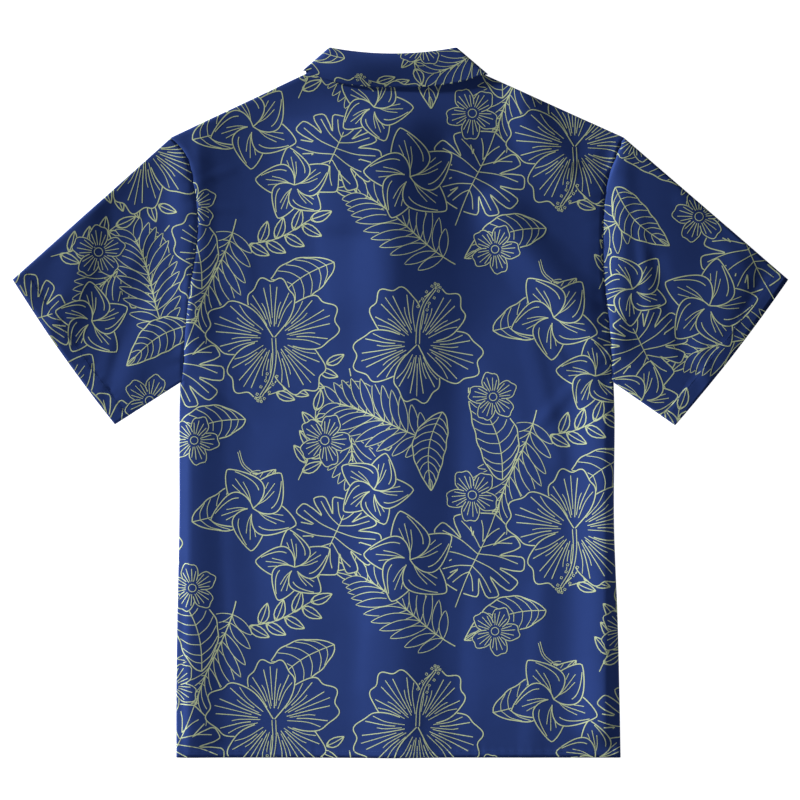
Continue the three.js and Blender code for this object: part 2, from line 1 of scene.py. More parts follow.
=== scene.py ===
"""A printed short-sleeved shirt laid flat on its front: cloth shells, print, stitching, buttons and stage."""
import math

import bpy
import numpy as np
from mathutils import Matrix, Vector


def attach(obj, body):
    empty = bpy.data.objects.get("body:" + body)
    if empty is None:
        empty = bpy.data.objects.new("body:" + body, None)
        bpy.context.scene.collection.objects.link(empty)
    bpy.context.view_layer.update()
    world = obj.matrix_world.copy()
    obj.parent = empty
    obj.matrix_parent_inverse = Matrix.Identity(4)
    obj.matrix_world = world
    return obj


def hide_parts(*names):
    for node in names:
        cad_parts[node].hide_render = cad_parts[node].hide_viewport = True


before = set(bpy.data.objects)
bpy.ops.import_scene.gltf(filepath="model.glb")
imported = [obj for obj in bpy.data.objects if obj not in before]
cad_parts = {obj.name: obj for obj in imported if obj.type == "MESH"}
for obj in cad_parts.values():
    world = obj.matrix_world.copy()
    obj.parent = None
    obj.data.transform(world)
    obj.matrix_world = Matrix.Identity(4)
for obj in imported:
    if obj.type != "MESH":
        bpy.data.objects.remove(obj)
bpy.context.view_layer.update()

bl_info = {
    "name": "Laid-out Shirt",
    "version": (1, 0, 0),
    "blender": (4, 5, 0),
    "location": "3D View > Sidebar > Shirt",
    "description": "Builds a printed short-sleeved shirt laid flat on its front",
    "category": "Add Mesh",
}

MM = 0.001  # every size below is in millimetres, and meshes are in metres
TINY = 1e-9  # keeps a division from failing

# Cloth and layers
CLOTH_HALF = 0.5  # from the middle of a wall to its outer face
CLOTH_THICK = 0.6
HEM_THICK = 0.5  # added where a hem is turned in
HEM_STEP = 1.5  # the stretch over which it is added
LAYER = 1.3  # from the middle of one layer to the next
FLOOR_Z = 0.5  # middle of the lowest layer
LOWEST = 0.02  # no point of the cloth lies lower
BACK_Z = 3.6  # middle of the back where no fold lifts it
INWARD = (1, -1)  # along X from the left and the right side to the centre

# Corners of the laid-out shirt, left and right
CENTRE_X = -5.0
HEM_Y = -375.8
SHOULDER = ((-242.2, 280.4), (235.8, 280.4))
NECK_SIDE = ((-89.6, 353.0), (79.0, 351.5))
UNDERARM = ((-232.7, 22.0), (225.3, 22.0))
CUFF_TOP = ((-410.3, 129.9), (410.3, 129.9))
CUFF_UNDER = ((-302.6, -22.8), (291.0, -23.9))
CUFF_BOW = 2.6

# Edges from the top down: height, left, right
ARMHOLE_ROWS = (
    (280.4, -242.2, 235.8),
    (262.0, -227.0, 228.8),
    (230.0, -219.0, 218.0),
    (188.0, -214.5, 214.4),
    (130.0, -221.5, 215.4),
    (80.0, -227.0, 221.0),
    (22.0, -231.2, 223.8),
)
SIDE_ROWS = (
    (22.0, -232.7, 225.3),
    (-20.0, -233.7, 226.3),
    (-125.0, -233.7, 225.6),
    (-230.0, -235.9, 229.5),
    (-315.0, -236.9, 231.6),
    (HEM_Y, -236.9, 232.7),
)

# Neck and collar
BACK_NECK_Y = 337.6
FRONT_NECK_Y = 267.7
FRONT_NECK_POWER = 2.2
SCOOP = 8.0
FOLD_LINE = {
    "mid_y": 368.3,
    "power": 2.0,
    "corner": ((-76.4, 374.6), (60.5, 374.6)),
    "end": ((-6.5, 284.0), (-3.5, 284.0)),
    "end_power": 1.6,
}
FALL_LINE = {
    "mid_y": 333.4,
    "power": 3.0,
    "corner": ((-102.9, 351.4), (92.3, 347.2)),
    "end": ((-76.0, 238.0), (66.0, 238.0)),
    "end_power": 1.0,
}
FALL_LIFT = (0.4, 2.2)  # how far the fall's edge stands off the back at its left and right corner
FALL_DROOP = 0.75  # how far that edge sinks again, fading out to the right
FALL_DROOP_END = 40.0
FALL_DROOP_FADE = 60.0

# Front edges and buttons
EXTENSION = 15.0
BUTTON_LIFT = 2.8
BUTTON_RADIUS = 5.75
BUTTON_TOP_Y = 250.0
BUTTON_PITCH = 98.0
BUTTON_COUNT = 6
STRIP = {"flat": 8.0, "foot": 26.0, "full": 262.0, "none": 290.0}
OVERLAP = (17.0, 35.0)
LEAF_MARGIN = (22.0, 52.0)
RIDGE = {
    "height": 4.4,
    "left": 52.0,
    "right": 56.0,
    "full": 275.0,
    "none": 330.0,
    "low_from": -190.0,
    "hem_from": -330.0,
    "hem_share": 0.6,
}

# Largest folds, much as in the solids: upper end, lower end, half-widths left and right, height
FOLDS = (
    (-221, 20, -223, -350, 12, 40, 2.6),
    (215, 0, 216, -330, 44, 13, 4.2),
    (110, 190, 224, 44, 40, 40, 3.9),
    (-42, 318, -24, 120, 105, 45, 2.2),
    (134, 318, 165, 262, 36, 30, 2.4),
    (-226, 250, -222, 80, 24, 34, 2.6),
    (217, 236, 216, 84, 18, 8, -0.6),
    (228, 244, 228, 84, 9, 26, 1.2),
    (-258, 92, -286, 28, 26, 34, 2.2),
    (366, 178, 340, 58, 44, 38, 1.5),
    (-330, 190, -352, 92, 34, 26, 1.6),
    (96, -20, 118, -190, 44, 36, -1.2),
    (-128, -60, -112, -240, 40, 50, 1.5),
)
# Broad slopes of the cloth that only its shells have, in the same columns
SLOPES = (
    (-12, 262, -12, 150, 138, 130, 5.2),
    (-12, 190, -10, -330, 150, 76, 2.7),
    (-266, 200, -272, 110, 110, 34, -2.3),
    (240, 200, 238, 90, 22, 160, 2.6),
)
# Finer creases that only the cloth shells have, in the same columns
CREASES = (
    (-222, 120, -223, -350, 10, 62, 1.5),
    (-214, 300, -206, 160, 12, 48, 1.3),
    (222, 24, 223, -345, 42, 9, 2.6),
    (118, 322, 140, 268, 22, 34, 1.4),
    (66, 40, 52, -330, 26, 34, -0.9),
    (98, 212, 206, 70, 24, 60, 1.5),
    (-64, 286, -70, 190, 78, 66, 3.0),
    (160, 62, 183, 22, 7, 9, 0.5),
    (172, 250, 204, 262, 6, 7, 0.55),
    (168, 226, 206, 232, 5, 6, 0.5),
    (176, 204, 208, 200, 5, 7, -0.45),
    (170, 178, 208, 168, 6, 5, 0.5),
    (182, 150, 210, 136, 5, 6, 0.4),
    (186, 120, 212, 104, 6, 5, -0.4),
    (-208, 236, -182, 246, 6, 5, 0.45),
    (-206, 206, -176, 204, 5, 7, 0.4),
    (-208, 168, -184, 158, 6, 6, -0.4),
    (-212, 120, -190, 106, 5, 6, 0.35),
    (-216, 60, -176, 22, 8, 11, 0.7),
    (-214, 34, -160, -22, 10, 13, -0.6),
    (208, 44, 150, -20, 12, 10, 0.7),
    (-60, 20, -44, -128, 24, 18, 0.7),
    (-20, -80, -34, -300, 16, 26, 0.6),
    (46, 60, 58, -90, 18, 26, -0.7),
    (60, -140, 44, -352, 22, 16, 0.6),
    (140, 60, 168, -60, 20, 14, 0.7),
    (150, -200, 138, -366, 18, 22, 0.7),
    (-166, 150, -150, 10, 20, 16, 0.6),
    (-180, -120, -168, -300, 16, 24, 0.6),
    (-96, 220, -84, 90, 22, 14, -0.6),
    (60, 270, 92, 210, 16, 22, 0.7),
    (-120, 300, -70, 262, 14, 20, 0.6),
    (-262, 190, -300, 120, 12, 16, 0.7),
    (-240, 150, -262, 60, 9, 12, -0.6),
    (-306, 60, -318, 10, 14, 10, 0.6),
    (-360, 110, -372, 74, 14, 12, 0.6),
    (-300, 226, -372, 160, 10, 12, 0.5),
    (252, 196, 262, 96, 8, 12, 0.7),
    (270, 150, 300, 50, 12, 16, -0.7),
    (300, 210, 360, 150, 12, 10, 0.6),
    (318, 60, 328, 4, 12, 10, 0.6),
    (380, 130, 352, 70, 12, 14, -0.5),
)
# Folds of the collar's fall, in the same columns
COLLAR_FOLDS = ((-48, 378, -54, 326, 56, 112, 4.0),)

# How far folds run out past their two ends
FOLD_END = 46.0
SLOPE_END = 130.0
CREASE_END = 18.0
COLLAR_FOLD_END = 30.0

# Where folds fade out: start and reach round an underarm, and the box below the collar with its reach
CORNER_CLEAR = (8.0, 34.0)
FALL_CLEAR = (326.0, 104.0, 30.0)

# Seams: how the cloth dips and puckers along the armholes
SEAM_DIP = 1.1
SEAM_WIDTH = 1.9
PUCKER = 0.34
PUCKER_REACH = 15.0
PUCKER_PERIOD = 17.0
PUCKER_UNEVEN = 0.4  # share of the puckers' depth that comes and goes along the seam
PUCKER_SWELL = 31.0  # and its wave's length for one radian
PUCKER_WANDER = 4.0
WANDER_SWELL = 23.0
PUCKER_SLANT = 0.3
SEAM_FADE = (20.0, 8.0)  # above the underarm and below the shoulder

# Hems: how far their stitching lies from the edge, and how it sinks and puckers
HEM_STITCH = 7.0
CUFF_STITCH = 16.0
CUFF_LOOK = 6  # counted from a sleeve's end, this row shows which way is in
CUFF_FROM = 240.0  # further out than this, a hem is a cuff's
HEM_RISE = 0.5
HEM_SOFT = 4.0
GROOVE_DEPTH = 0.35
GROOVE_WIDTH = 1.1
HEM_RIPPLE = 0.16
RIPPLE_PERIOD = 9.0
RIPPLE_REACH = 6.0
RIPPLE_DRIFT = 2.0
DRIFT_SWELL = 37.0

# How finely the surfaces are divided
TURN_STEPS = 6
PAD_STEPS = 4
SHOULDER_STEPS = 40
NECK_STEPS = 20
ARMHOLE_STEPS = 62
SIDE_STEPS = 96
FRONT_ARMHOLE_STEPS = 48
FRONT_NECK_STEPS = 26
FRONT_EDGE_STEPS = 8
SLEEVE_STEPS = 48
STAND_STEPS = 5
FALL_STEPS = 22
COLLAR_LEAF_STEPS = 30
SLEEVE_CROWD = 1.1  # rows lie closer near the armhole

# Rows and columns that end at a corner, as in the solids
PAD = 6.0
NECK_PAD = 2.0
SLIVER = 4.0
FAN = 12.0
FAN_REACH = 40.0
FAN_COLUMNS = 8
UNDERARM_MITRE = 1.83
NECK_MITRE = 0.7
BUMP_END_Y = 30.0

# Print: line widths, how it lies on the cloth, and its repeat
OUTLINE = 1.15
VEIN = 0.9
FINE = 0.75
INK_LIFT = 0.09
INK_STEPS = 11  # neighbouring lines lie at this many slightly different heights, so none coincide
INK_RISE = 0.004
INK_BEND = 0.04  # how far the cloth may bend away from a line's step
REFINE_ROUNDS = 2
INK_ROOT = 0.2
INK_STEP = 2.4
REPEAT_WIDTH = 318.0
REPEAT_HEIGHT = 404.0
SHORTEST = 0.5  # shorter lines are left out
ROUND = np.linspace(0, 2 * np.pi, 12, endpoint=False)
PRINT_SHIFT = {
    "front_left": (37, 84),
    "front_right": (121, -60),
    "sleeve_left": (20, 66),
    "sleeve_right": (-94, 150),
    "collar": (60, 30),
}

# How a flat point is looked up on the cloth: first among every few rows and columns, then by steps
LOCATE_STRIDE = 6
LOCATE_ROUNDS = 9
LOCATE_CHUNK = 2000
LOCATE_LEAP = 12
LOCATE_EDGE = 1.001  # keeps a place short of the last row or column
LOCATE_MISS = 0.08  # a point that stays further off isn't on the cloth

# Sewing
STITCH_LENGTH = 2.3
STITCH_GAP = 0.8
STITCH_WIDTH = 0.5
STITCH_LIFT = 0.16
BUTTONHOLE = {"half": 7.5, "side": 1.0, "bar": 1.8, "thread": 1.3, "bar_thread": 1.2}
BUTTON_CROSS = {"reach": 1.95, "half_width": 0.35, "half_height": 0.22, "middle_z": 0.25}

# Finishes of the smaller parts: thread pitch and depth are in metres
CLOTH_MOTTLE = 9.0
PRINT_FINISH = {"roughness": 0.62, "mottle": 60.0}
THREAD_FINISH = {"roughness": 0.6, "sheen": 0.1, "pitch": 0.0004, "depth": 0.00005, "mottle": 200.0}
BUTTON_FINISH = {"roughness": 0.32, "pitch": 0.004, "depth": 0.00001, "mottle": 160.0}

# Camera, in metres: the photograph is square, and its middle pixel looks at this place
CAMERA_TARGET = (-0.0005, 0.00265)
CAMERA_HEIGHT = 2.36
CAMERA_LENS = 100.0
PIXEL_SIZE = 0.00106
PHOTO_PIXELS = 800

# Stage, in metres: a wide white floor, a low far light from the left and a soft one overhead
FLOOR_HALF = 40.0
FLOOR_TOP = -0.0003
SUN_FROM = (-1.0, 0.38, 0.150)
SUN_STRENGTH = 7.9
SUN_ANGLE = 5.0
OVERHEAD_PLACE = (-0.03, -0.14, 0.42)
OVERHEAD_TARGET = (-0.03, -0.14, 0.0)
OVERHEAD_SIZE = (0.2, 0.6)
OVERHEAD_WATTS = 1.38
WORLD_STRENGTH = 0.05


def clamp(value):
    return np.clip(value, 0.0, 1.0)


def mix(a, b, t):
    return a + (b - a) * t


def ramp(value, full, none):
    """1 at full, 0 at none, straight between."""
    return clamp((none - value) / (none - full))


def bell(t):
    """Squared cosine, 1 in the middle and 0 from a distance of 1."""
    return np.cos(np.pi / 2 * np.minimum(1, np.abs(t))) ** 2


def on_upper(turn):
    return (1 + np.cos(turn)) / 2


def inset(turn):
    return 1 - np.sin(turn)


def pick(left, pair):
    """The left or right one of a pair, for each True or False in left."""
    return np.where(left, pair[0], pair[1])


def read_table(rows, y, left):
    """A smooth cubic curve through a table's rows at heights y: Hermite pieces, slopes from neighbours."""
    table = np.array(rows)
    heights = table[:, 0]
    last = len(table) - 1
    i = np.clip((heights[1:, None] >= np.ravel(y)).sum(0), 0, last - 1).reshape(np.shape(y))
    result = []
    for column in (1, 2):
        values = table[:, column]
        above = np.maximum(np.arange(last + 1) - 1, 0)
        below = np.minimum(np.arange(last + 1) + 1, last)
        slopes = (values[below] - values[above]) / (heights[below] - heights[above])
        span = heights[i + 1] - heights[i]
        t = clamp((y - heights[i]) / span)
        result.append(
            values[i] * (2 * t**3 - 3 * t**2 + 1)
            + values[i + 1] * (3 * t**2 - 2 * t**3)
            + slopes[i] * span * (t**3 - 2 * t**2 + t)
            + slopes[i + 1] * span * (t**3 - t**2)
        )
    return np.where(left, result[0], result[1])


def fold_sum(rows, end, x, y):
    """Height of all folds in a table: each a bell across its line, with soft round ends."""
    total = np.zeros(np.broadcast(x, y).shape)
    for x1, y1, x2, y2, left, right, height in rows:
        dx, dy = x2 - x1, y2 - y1
        length = math.hypot(dx, dy)
        along = ((x - x1) * dx + (y - y1) * dy) / length
        across = (dx * (y - y1) - dy * (x - x1)) / length
        beyond = np.maximum(0, np.maximum(-along, along - length))
        total = total + height * bell(np.hypot(across / np.where(across > 0, right, left), beyond / end))
    return total


def armhole_dip(x, y):
    """The dip along an armhole seam, with uneven puckers that fade out across the cloth."""
    off = x - read_table(ARMHOLE_ROWS, y, x < CENTRE_X)
    reach = clamp((y - UNDERARM[0][1]) / SEAM_FADE[0]) * clamp((SHOULDER[0][1] - y) / SEAM_FADE[1])
    wander = y + PUCKER_WANDER * np.sin(y / WANDER_SWELL) + np.abs(off) * PUCKER_SLANT
    swell = 1 - PUCKER_UNEVEN + PUCKER_UNEVEN * np.sin(y / PUCKER_SWELL)
    pucker = PUCKER * np.sin(2 * np.pi * wander / PUCKER_PERIOD) * swell
    dip = SEAM_DIP * np.exp(-((off / SEAM_WIDTH) ** 2))
    return reach * (pucker * np.exp(-((off / PUCKER_REACH) ** 2)) - dip)


def hem_dip(edge, along):
    """The groove of a hem's stitching, edge being the distance outside it, with small ripples along it."""
    drift = RIPPLE_DRIFT * np.sin(along / DRIFT_SWELL)
    ripple = HEM_RIPPLE * np.sin(2 * np.pi * along / RIPPLE_PERIOD + drift)
    groove = GROOVE_DEPTH * np.exp(-((edge / GROOVE_WIDTH) ** 2))
    rise = HEM_RISE * clamp(0.5 - edge / HEM_SOFT)
    return ripple * np.exp(-((edge / RIPPLE_REACH) ** 2)) - groove + rise


def cuff_off(x, y):
    """Distance inward from a cuff's edge, and distance along that edge."""
    left = x < CENTRE_X
    ax, ay = pick(left, (CUFF_TOP[0][0], CUFF_TOP[1][0])), pick(left, (CUFF_TOP[0][1], CUFF_TOP[1][1]))
    bx = pick(left, (CUFF_UNDER[0][0], CUFF_UNDER[1][0]))
    by = pick(left, (CUFF_UNDER[0][1], CUFF_UNDER[1][1]))
    dx, dy = bx - ax, by - ay
    length = np.hypot(dx, dy)
    off = (dx * (y - ay) - dy * (x - ax)) / length * pick(left, (1, -1))
    return off, ((x - ax) * dx + (y - ay) * dy) / length


def upper_z(x, y):
    """Middle of the upper layer's wall: a level, the ridge over the buttons, folds, creases, seams, hems."""
    left = x < CENTRE_X
    off = x - CENTRE_X
    ridge = RIDGE["height"] * bell(off / pick(left, (RIDGE["left"], RIDGE["right"])))
    low = mix(RIDGE["hem_share"], 1, ramp(y, RIDGE["low_from"], RIDGE["hem_from"]))
    ridge = ridge * ramp(y, RIDGE["full"], RIDGE["none"]) * low
    clear = np.maximum(FALL_CLEAR[0] - y, np.abs(off) - FALL_CLEAR[1]) / FALL_CLEAR[2]
    corner_x = pick(left, (UNDERARM[0][0], UNDERARM[1][0]))
    away = (np.hypot(x - corner_x, y - UNDERARM[0][1]) - CORNER_CLEAR[0]) / CORNER_CLEAR[1]
    folds = fold_sum(FOLDS, FOLD_END, x, y) + fold_sum(SLOPES, SLOPE_END, x, y)
    folds = folds + fold_sum(CREASES, CREASE_END, x, y)
    cuff_in, cuff_along = cuff_off(x, y)
    outside = x * pick(left, (-1, 1)) > CUFF_FROM
    hems = np.where(outside, hem_dip(cuff_in - CUFF_STITCH, cuff_along), hem_dip(y - HEM_Y - HEM_STITCH, x))
    return BACK_Z + ridge + folds * clamp(clear) * clamp(away) + armhole_dip(x, y) + hems


def outside_line(left, a, b, x, y):
    """Distance outside the line from corner a to corner b of the collar's leaf."""
    ax, ay = pick(left, (a[0][0], a[1][0])), pick(left, (a[0][1], a[1][1]))
    bx, by = pick(left, (b[0][0], b[1][0])), pick(left, (b[0][1], b[1][1]))
    cross = (bx - ax) * (y - ay) - (by - ay) * (x - ax)
    return -pick(left, INWARD) * cross / np.hypot(bx - ax, by - ay)


def lower_z(x, y):
    """Middle of the lower layer's wall, on the surface or over the collar's leaf."""
    left = x < CENTRE_X
    outer = outside_line(left, FALL_LINE["corner"], FALL_LINE["end"], x, y)
    lower = outside_line(left, FALL_LINE["end"], FOLD_LINE["end"], x, y)
    return FLOOR_Z + LAYER * ramp(outer, *LEAF_MARGIN) * ramp(lower, *LEAF_MARGIN)


def edge_radius(x, y):
    return (upper_z(x, y) - lower_z(x, y)) / 2


def front_z(x, y, is_left):
    """Middle of a front's wall: raised over the buttons, and on the right over the other front's edge."""
    off = x - CENTRE_X
    strip = BUTTON_LIFT * ramp(np.abs(off), STRIP["flat"], STRIP["foot"])
    strip = strip * ramp(y, STRIP["full"], STRIP["none"])
    overlap = 0 if is_left else LAYER * ramp(off, *OVERLAP)
    return lower_z(x, y) + strip + overlap


def row_y(edge_y, top_y):
    shoulder_y = SHOULDER[0][1]
    return edge_y + (top_y - shoulder_y) * clamp((edge_y - BUMP_END_Y) / (shoulder_y - BUMP_END_Y))


def back_columns():
    """Columns of the back as arrays: left or not, shares of pad and shoulder, turn, share of the neck."""
    pad = np.linspace(0, 1, PAD_STEPS, endpoint=False)
    shoulder = np.linspace(0, 1, SHOULDER_STEPS, endpoint=False)
    turn = np.linspace(1, 0, TURN_STEPS + 1)
    neck = np.linspace(0, 1, NECK_STEPS + 1)[1:-1]
    parts = (len(pad), len(shoulder), len(turn), len(neck))
    half = {
        "pad": np.concatenate([pad, np.ones(sum(parts[1:]))]),
        "share": np.concatenate([np.zeros(parts[0]), shoulder, np.ones(parts[2] + parts[3])]),
        "turn": np.concatenate([np.ones(parts[0] + parts[1]), turn, np.zeros(parts[3])]),
        "neck": np.concatenate([np.full(parts[0] + parts[1], -1.0), np.zeros(parts[2]), neck]),
    }
    centre = {"pad": 1, "share": 1, "turn": 0, "neck": 1}
    columns = {key: np.concatenate([half[key], [centre[key]], half[key][::-1]]) for key in half}
    columns["left"] = np.arange(len(columns["pad"])) < len(half["pad"])
    return columns


def back_rows():
    """Rows of the back as arrays, from the shoulder's edge down to the hem."""
    armhole = np.linspace(SHOULDER[0][1], UNDERARM[0][1], ARMHOLE_STEPS + 2)[1:-1]
    kinds = np.repeat([0, 1, 2, 3], [TURN_STEPS + 1, ARMHOLE_STEPS, TURN_STEPS + 1, SIDE_STEPS])
    down = np.zeros(len(kinds))
    down[kinds == 3] = np.arange(1, SIDE_STEPS + 1) / SIDE_STEPS
    edge_y = np.full(len(kinds), SHOULDER[0][1])
    edge_y[kinds == 1] = armhole
    edge_y[kinds >= 2] = UNDERARM[0][1]
    turn = np.zeros(len(kinds))
    turn[kinds == 2] = np.linspace(0, 1, TURN_STEPS + 1)
    turn[kinds == 3] = 1
    roll = np.ones(len(kinds))
    roll[kinds == 0] = np.linspace(0, 1, TURN_STEPS + 1)
    return {"kind": kinds, "roll": roll, "edge_y": edge_y, "turn": turn, "down": down}


def corner_y(left, pad, turn, share):
    """Height of the row that starts down a side: at the seam on the edge, fanned out further in."""
    radius = pick(left, [edge_radius(np.array(x), np.array(y)) for x, y in UNDERARM])
    rise = UNDERARM_MITRE * radius * inset(np.pi * turn * (1 - pad))
    fanned = clamp(share * FAN_COLUMNS * FAN / FAN_REACH)
    return UNDERARM[0][1] + rise - turn * mix(pad * SLIVER, FAN, fanned)


def corner_x(left, turn, kind, roll, edge_y):
    """Where the neck's corner column stands in a row."""
    x, y = pick(left, (NECK_SIDE[0][0], NECK_SIDE[1][0])), pick(left, (NECK_SIDE[0][1], NECK_SIDE[1][1]))
    rolled = np.pi * turn * (1 - roll)
    edge = np.where(kind == 3, 0, edge_y)
    fanned = np.where(kind == 0, 0, clamp((SHOULDER[0][1] - edge) / FAN_REACH))
    opened = turn * mix(roll * SLIVER, FAN, fanned)
    return x + pick(left, INWARD) * (NECK_MITRE * edge_radius(x, y) * inset(rolled) - opened)


def pad_x(left, pad, kind, turn, edge_y, y):
    """The outer edge of a row and the narrow columns beside it."""
    along = (1 - turn) * PAD * pad
    armhole = read_table(ARMHOLE_ROWS, edge_y + 0 * y, left) + pick(left, INWARD) * along
    edge_x = read_table(SIDE_ROWS, y, left)
    rolled = np.pi * turn * (1 - pad)
    side = edge_x + pick(left, INWARD) * (edge_radius(edge_x, y) * inset(rolled) + along)
    return np.where(kind <= 1, armhole, side)


def back_grid():
    """The back's middle surface: rows from shoulder to hem, columns from left to right, edges rolled under.

    A point's height is the lower layer's at half a circle of roll and the upper layer's at none."""
    rows, columns = back_rows(), back_columns()
    left, pad, share = (columns[key][None, :] for key in ("left", "pad", "share"))
    turn, neck = columns["turn"][None, :], columns["neck"][None, :]
    kind, roll, edge_y = (rows[key][:, None] for key in ("kind", "roll", "edge_y"))
    side_turn, down = rows["turn"][:, None], rows["down"][:, None]

    def column_x(kind, roll, edge_y, side_turn, y):
        corner = corner_x(left, turn, kind, roll, edge_y)
        on_neck = mix(corner_x(left, 0 * turn, kind, roll, edge_y), CENTRE_X, neck)
        return np.where(neck > 0, on_neck, mix(pad_x(left, pad, kind, side_turn, edge_y, y), corner, share))

    top = np.zeros_like(turn)
    shoulder_y = top + SHOULDER[0][1]
    top_x = column_x(top, top + 1, shoulder_y, top, shoulder_y)
    neck_x, neck_y = (pick(left, (NECK_SIDE[0][i], NECK_SIDE[1][i])) for i in (0, 1))
    shoulder_x = pick(left, (SHOULDER[0][0], SHOULDER[1][0]))
    line_y = mix(neck_y, SHOULDER[0][1], (top_x - neck_x) / (shoulder_x - neck_x))
    scoop_y = mix(neck_y - edge_radius(neck_x, neck_y), BACK_NECK_Y, 1 - (1 - neck) ** 2)
    top_y = np.where(neck > 0, scoop_y, np.where(neck == 0, neck_y, line_y))

    rolled = np.pi * turn * (1 - roll)
    side_rolled = np.pi * side_turn * (1 - pad)
    y = row_y(edge_y, top_y)
    y = np.where(kind == 2, corner_y(left, pad, side_turn, share), y)
    start = corner_y(left, pad, 1 + 0 * side_turn, share)
    y = np.where(kind == 3, mix(start, HEM_Y, down), y)
    x = column_x(kind, roll, edge_y, side_turn, y)
    seam = np.where(neck > 0, 0, edge_radius(x, top_y + 0 * x) * inset(rolled))
    y = np.where(kind == 0, top_y - seam - (1 - turn) * NECK_PAD * roll, y)
    z = mix(lower_z(x, y), upper_z(x, y), np.minimum(on_upper(rolled), on_upper(side_rolled)))
    return np.stack(np.broadcast_arrays(x, y, z), axis=-1)


NECK_COLUMN = PAD_STEPS + SHOULDER_STEPS
CORNER_ROW = TURN_STEPS + ARMHOLE_STEPS + 1
UNDERARM_ROW = CORNER_ROW + TURN_STEPS


def front_grid(back, is_left):
    """A front's middle surface: rows from shoulder to hem, columns from the armhole or side to its edge."""
    side = back if is_left else back[:, ::-1]
    inward = INWARD[0] if is_left else INWARD[1]
    shoulder = np.vstack([side[0, :1], side[0, PAD_STEPS : NECK_COLUMN + 1]])
    corner = shoulder[-1]
    reach = abs(corner[0] - CENTRE_X)
    offsets = np.concatenate(
        [
            np.linspace(reach, 0, FRONT_NECK_STEPS + 1)[1:],
            np.linspace(0, -EXTENSION, FRONT_EDGE_STEPS + 1)[1:],
        ]
    )
    neck_x = CENTRE_X - inward * offsets
    neck_y = mix(FRONT_NECK_Y, corner[1], clamp(offsets / reach) ** FRONT_NECK_POWER)
    top = np.vstack([shoulder, np.column_stack([neck_x, neck_y, front_z(neck_x, neck_y, is_left)])])
    first, last = side[0, 0], side[UNDERARM_ROW, 0]
    share = np.linspace(0, 1, FRONT_ARMHOLE_STEPS + 1)[1:-1]
    edge_y = mix(first[1], last[1], share)
    edge_x = read_table(ARMHOLE_ROWS, edge_y, is_left) + inward * SCOOP * np.sin(np.pi * share)
    armhole = np.column_stack([edge_x, edge_y, lower_z(edge_x, edge_y)])
    outer = np.vstack([armhole, side[UNDERARM_ROW:, 0]])
    index = np.arange(len(top))[None, :]
    corner_index = len(shoulder) - 1
    across = clamp((top[:, 0] - top[0, 0]) / (corner[0] - top[0, 0]))[None, :]
    x = np.where(index < corner_index, mix(outer[:, :1], corner[0], across), top[None, :, 0])
    y = row_y(outer[:, 1:2], top[None, :, 1])
    z = front_z(x, y, is_left)
    rows = np.stack([x, y, z], axis=-1)
    rows[:, 0] = outer
    return np.concatenate([top[None], rows])


def armhole_ring(back, front, is_left):
    """Points where a sleeve meets the body, with their share of the way down and turn round the edge."""
    side = back if is_left else back[:, ::-1]
    upper = side[: UNDERARM_ROW + 1, 0]
    steps = np.linalg.norm(np.diff(upper[TURN_STEPS : CORNER_ROW + 1], axis=0), axis=1)
    lengths = np.concatenate([[0], np.cumsum(steps)]) / steps.sum()
    along = np.concatenate([np.zeros(TURN_STEPS), lengths, np.ones(TURN_STEPS)])
    turn = np.concatenate(
        [
            np.pi * (1 - np.arange(TURN_STEPS) / TURN_STEPS),
            np.zeros(len(lengths)),
            np.pi * np.arange(1, TURN_STEPS + 1) / TURN_STEPS,
        ]
    )
    lower = front[FRONT_ARMHOLE_STEPS - 1 : 0 : -1, 0]
    share = np.arange(FRONT_ARMHOLE_STEPS - 1, 0, -1) / FRONT_ARMHOLE_STEPS
    return (
        np.vstack([upper, lower]),
        np.concatenate([along, share]),
        np.concatenate([turn, np.full(len(share), np.pi)]),
    )


def tube_point(side, station, along, turn):
    """A point of the plain flat tube between shoulder, underarm and cuff."""
    start = [mix(SHOULDER[side][i], CUFF_TOP[side][i], station) for i in (0, 1)]
    end = [mix(UNDERARM[side][i], CUFF_UNDER[side][i], station) for i in (0, 1)]
    length = np.hypot(end[0] - start[0], end[1] - start[1])
    near = edge_radius(*start) * inset(turn)
    far = edge_radius(*end) * inset(turn)
    bow = CUFF_BOW * station**2 * 4 * along * (1 - along)
    share = mix(near, length - far, along) / length
    dx, dy = (end[0] - start[0]) / length, (end[1] - start[1]) / length
    x = mix(start[0], end[0], share) + INWARD[side] * dy * bow
    return x, mix(start[1], end[1], share) - INWARD[side] * dx * bow


def sleeve_grid(back, front, is_left):
    """A sleeve's middle surface: rows from the armhole to the cuff, each a closed flat ring."""
    side = 0 if is_left else 1
    ring, along, turn = armhole_ring(back, front, is_left)
    station = np.linspace(0, 1, SLEEVE_STEPS + 1)[:, None] ** SLEEVE_CROWD
    base_x, base_y = tube_point(side, 0 * station, along[None], turn[None])
    plain_x, plain_y = tube_point(side, station, along[None], turn[None])
    x = plain_x + (ring[None, :, 0] - base_x) * (1 - station) ** 2
    y = plain_y + (ring[None, :, 1] - base_y) * (1 - station) ** 2
    grid = np.stack([x, y, mix(FLOOR_Z, upper_z(x, y), on_upper(turn)[None])], axis=-1)
    grid[0] = ring
    return np.roll(grid, FRONT_ARMHOLE_STEPS - 1, axis=1)


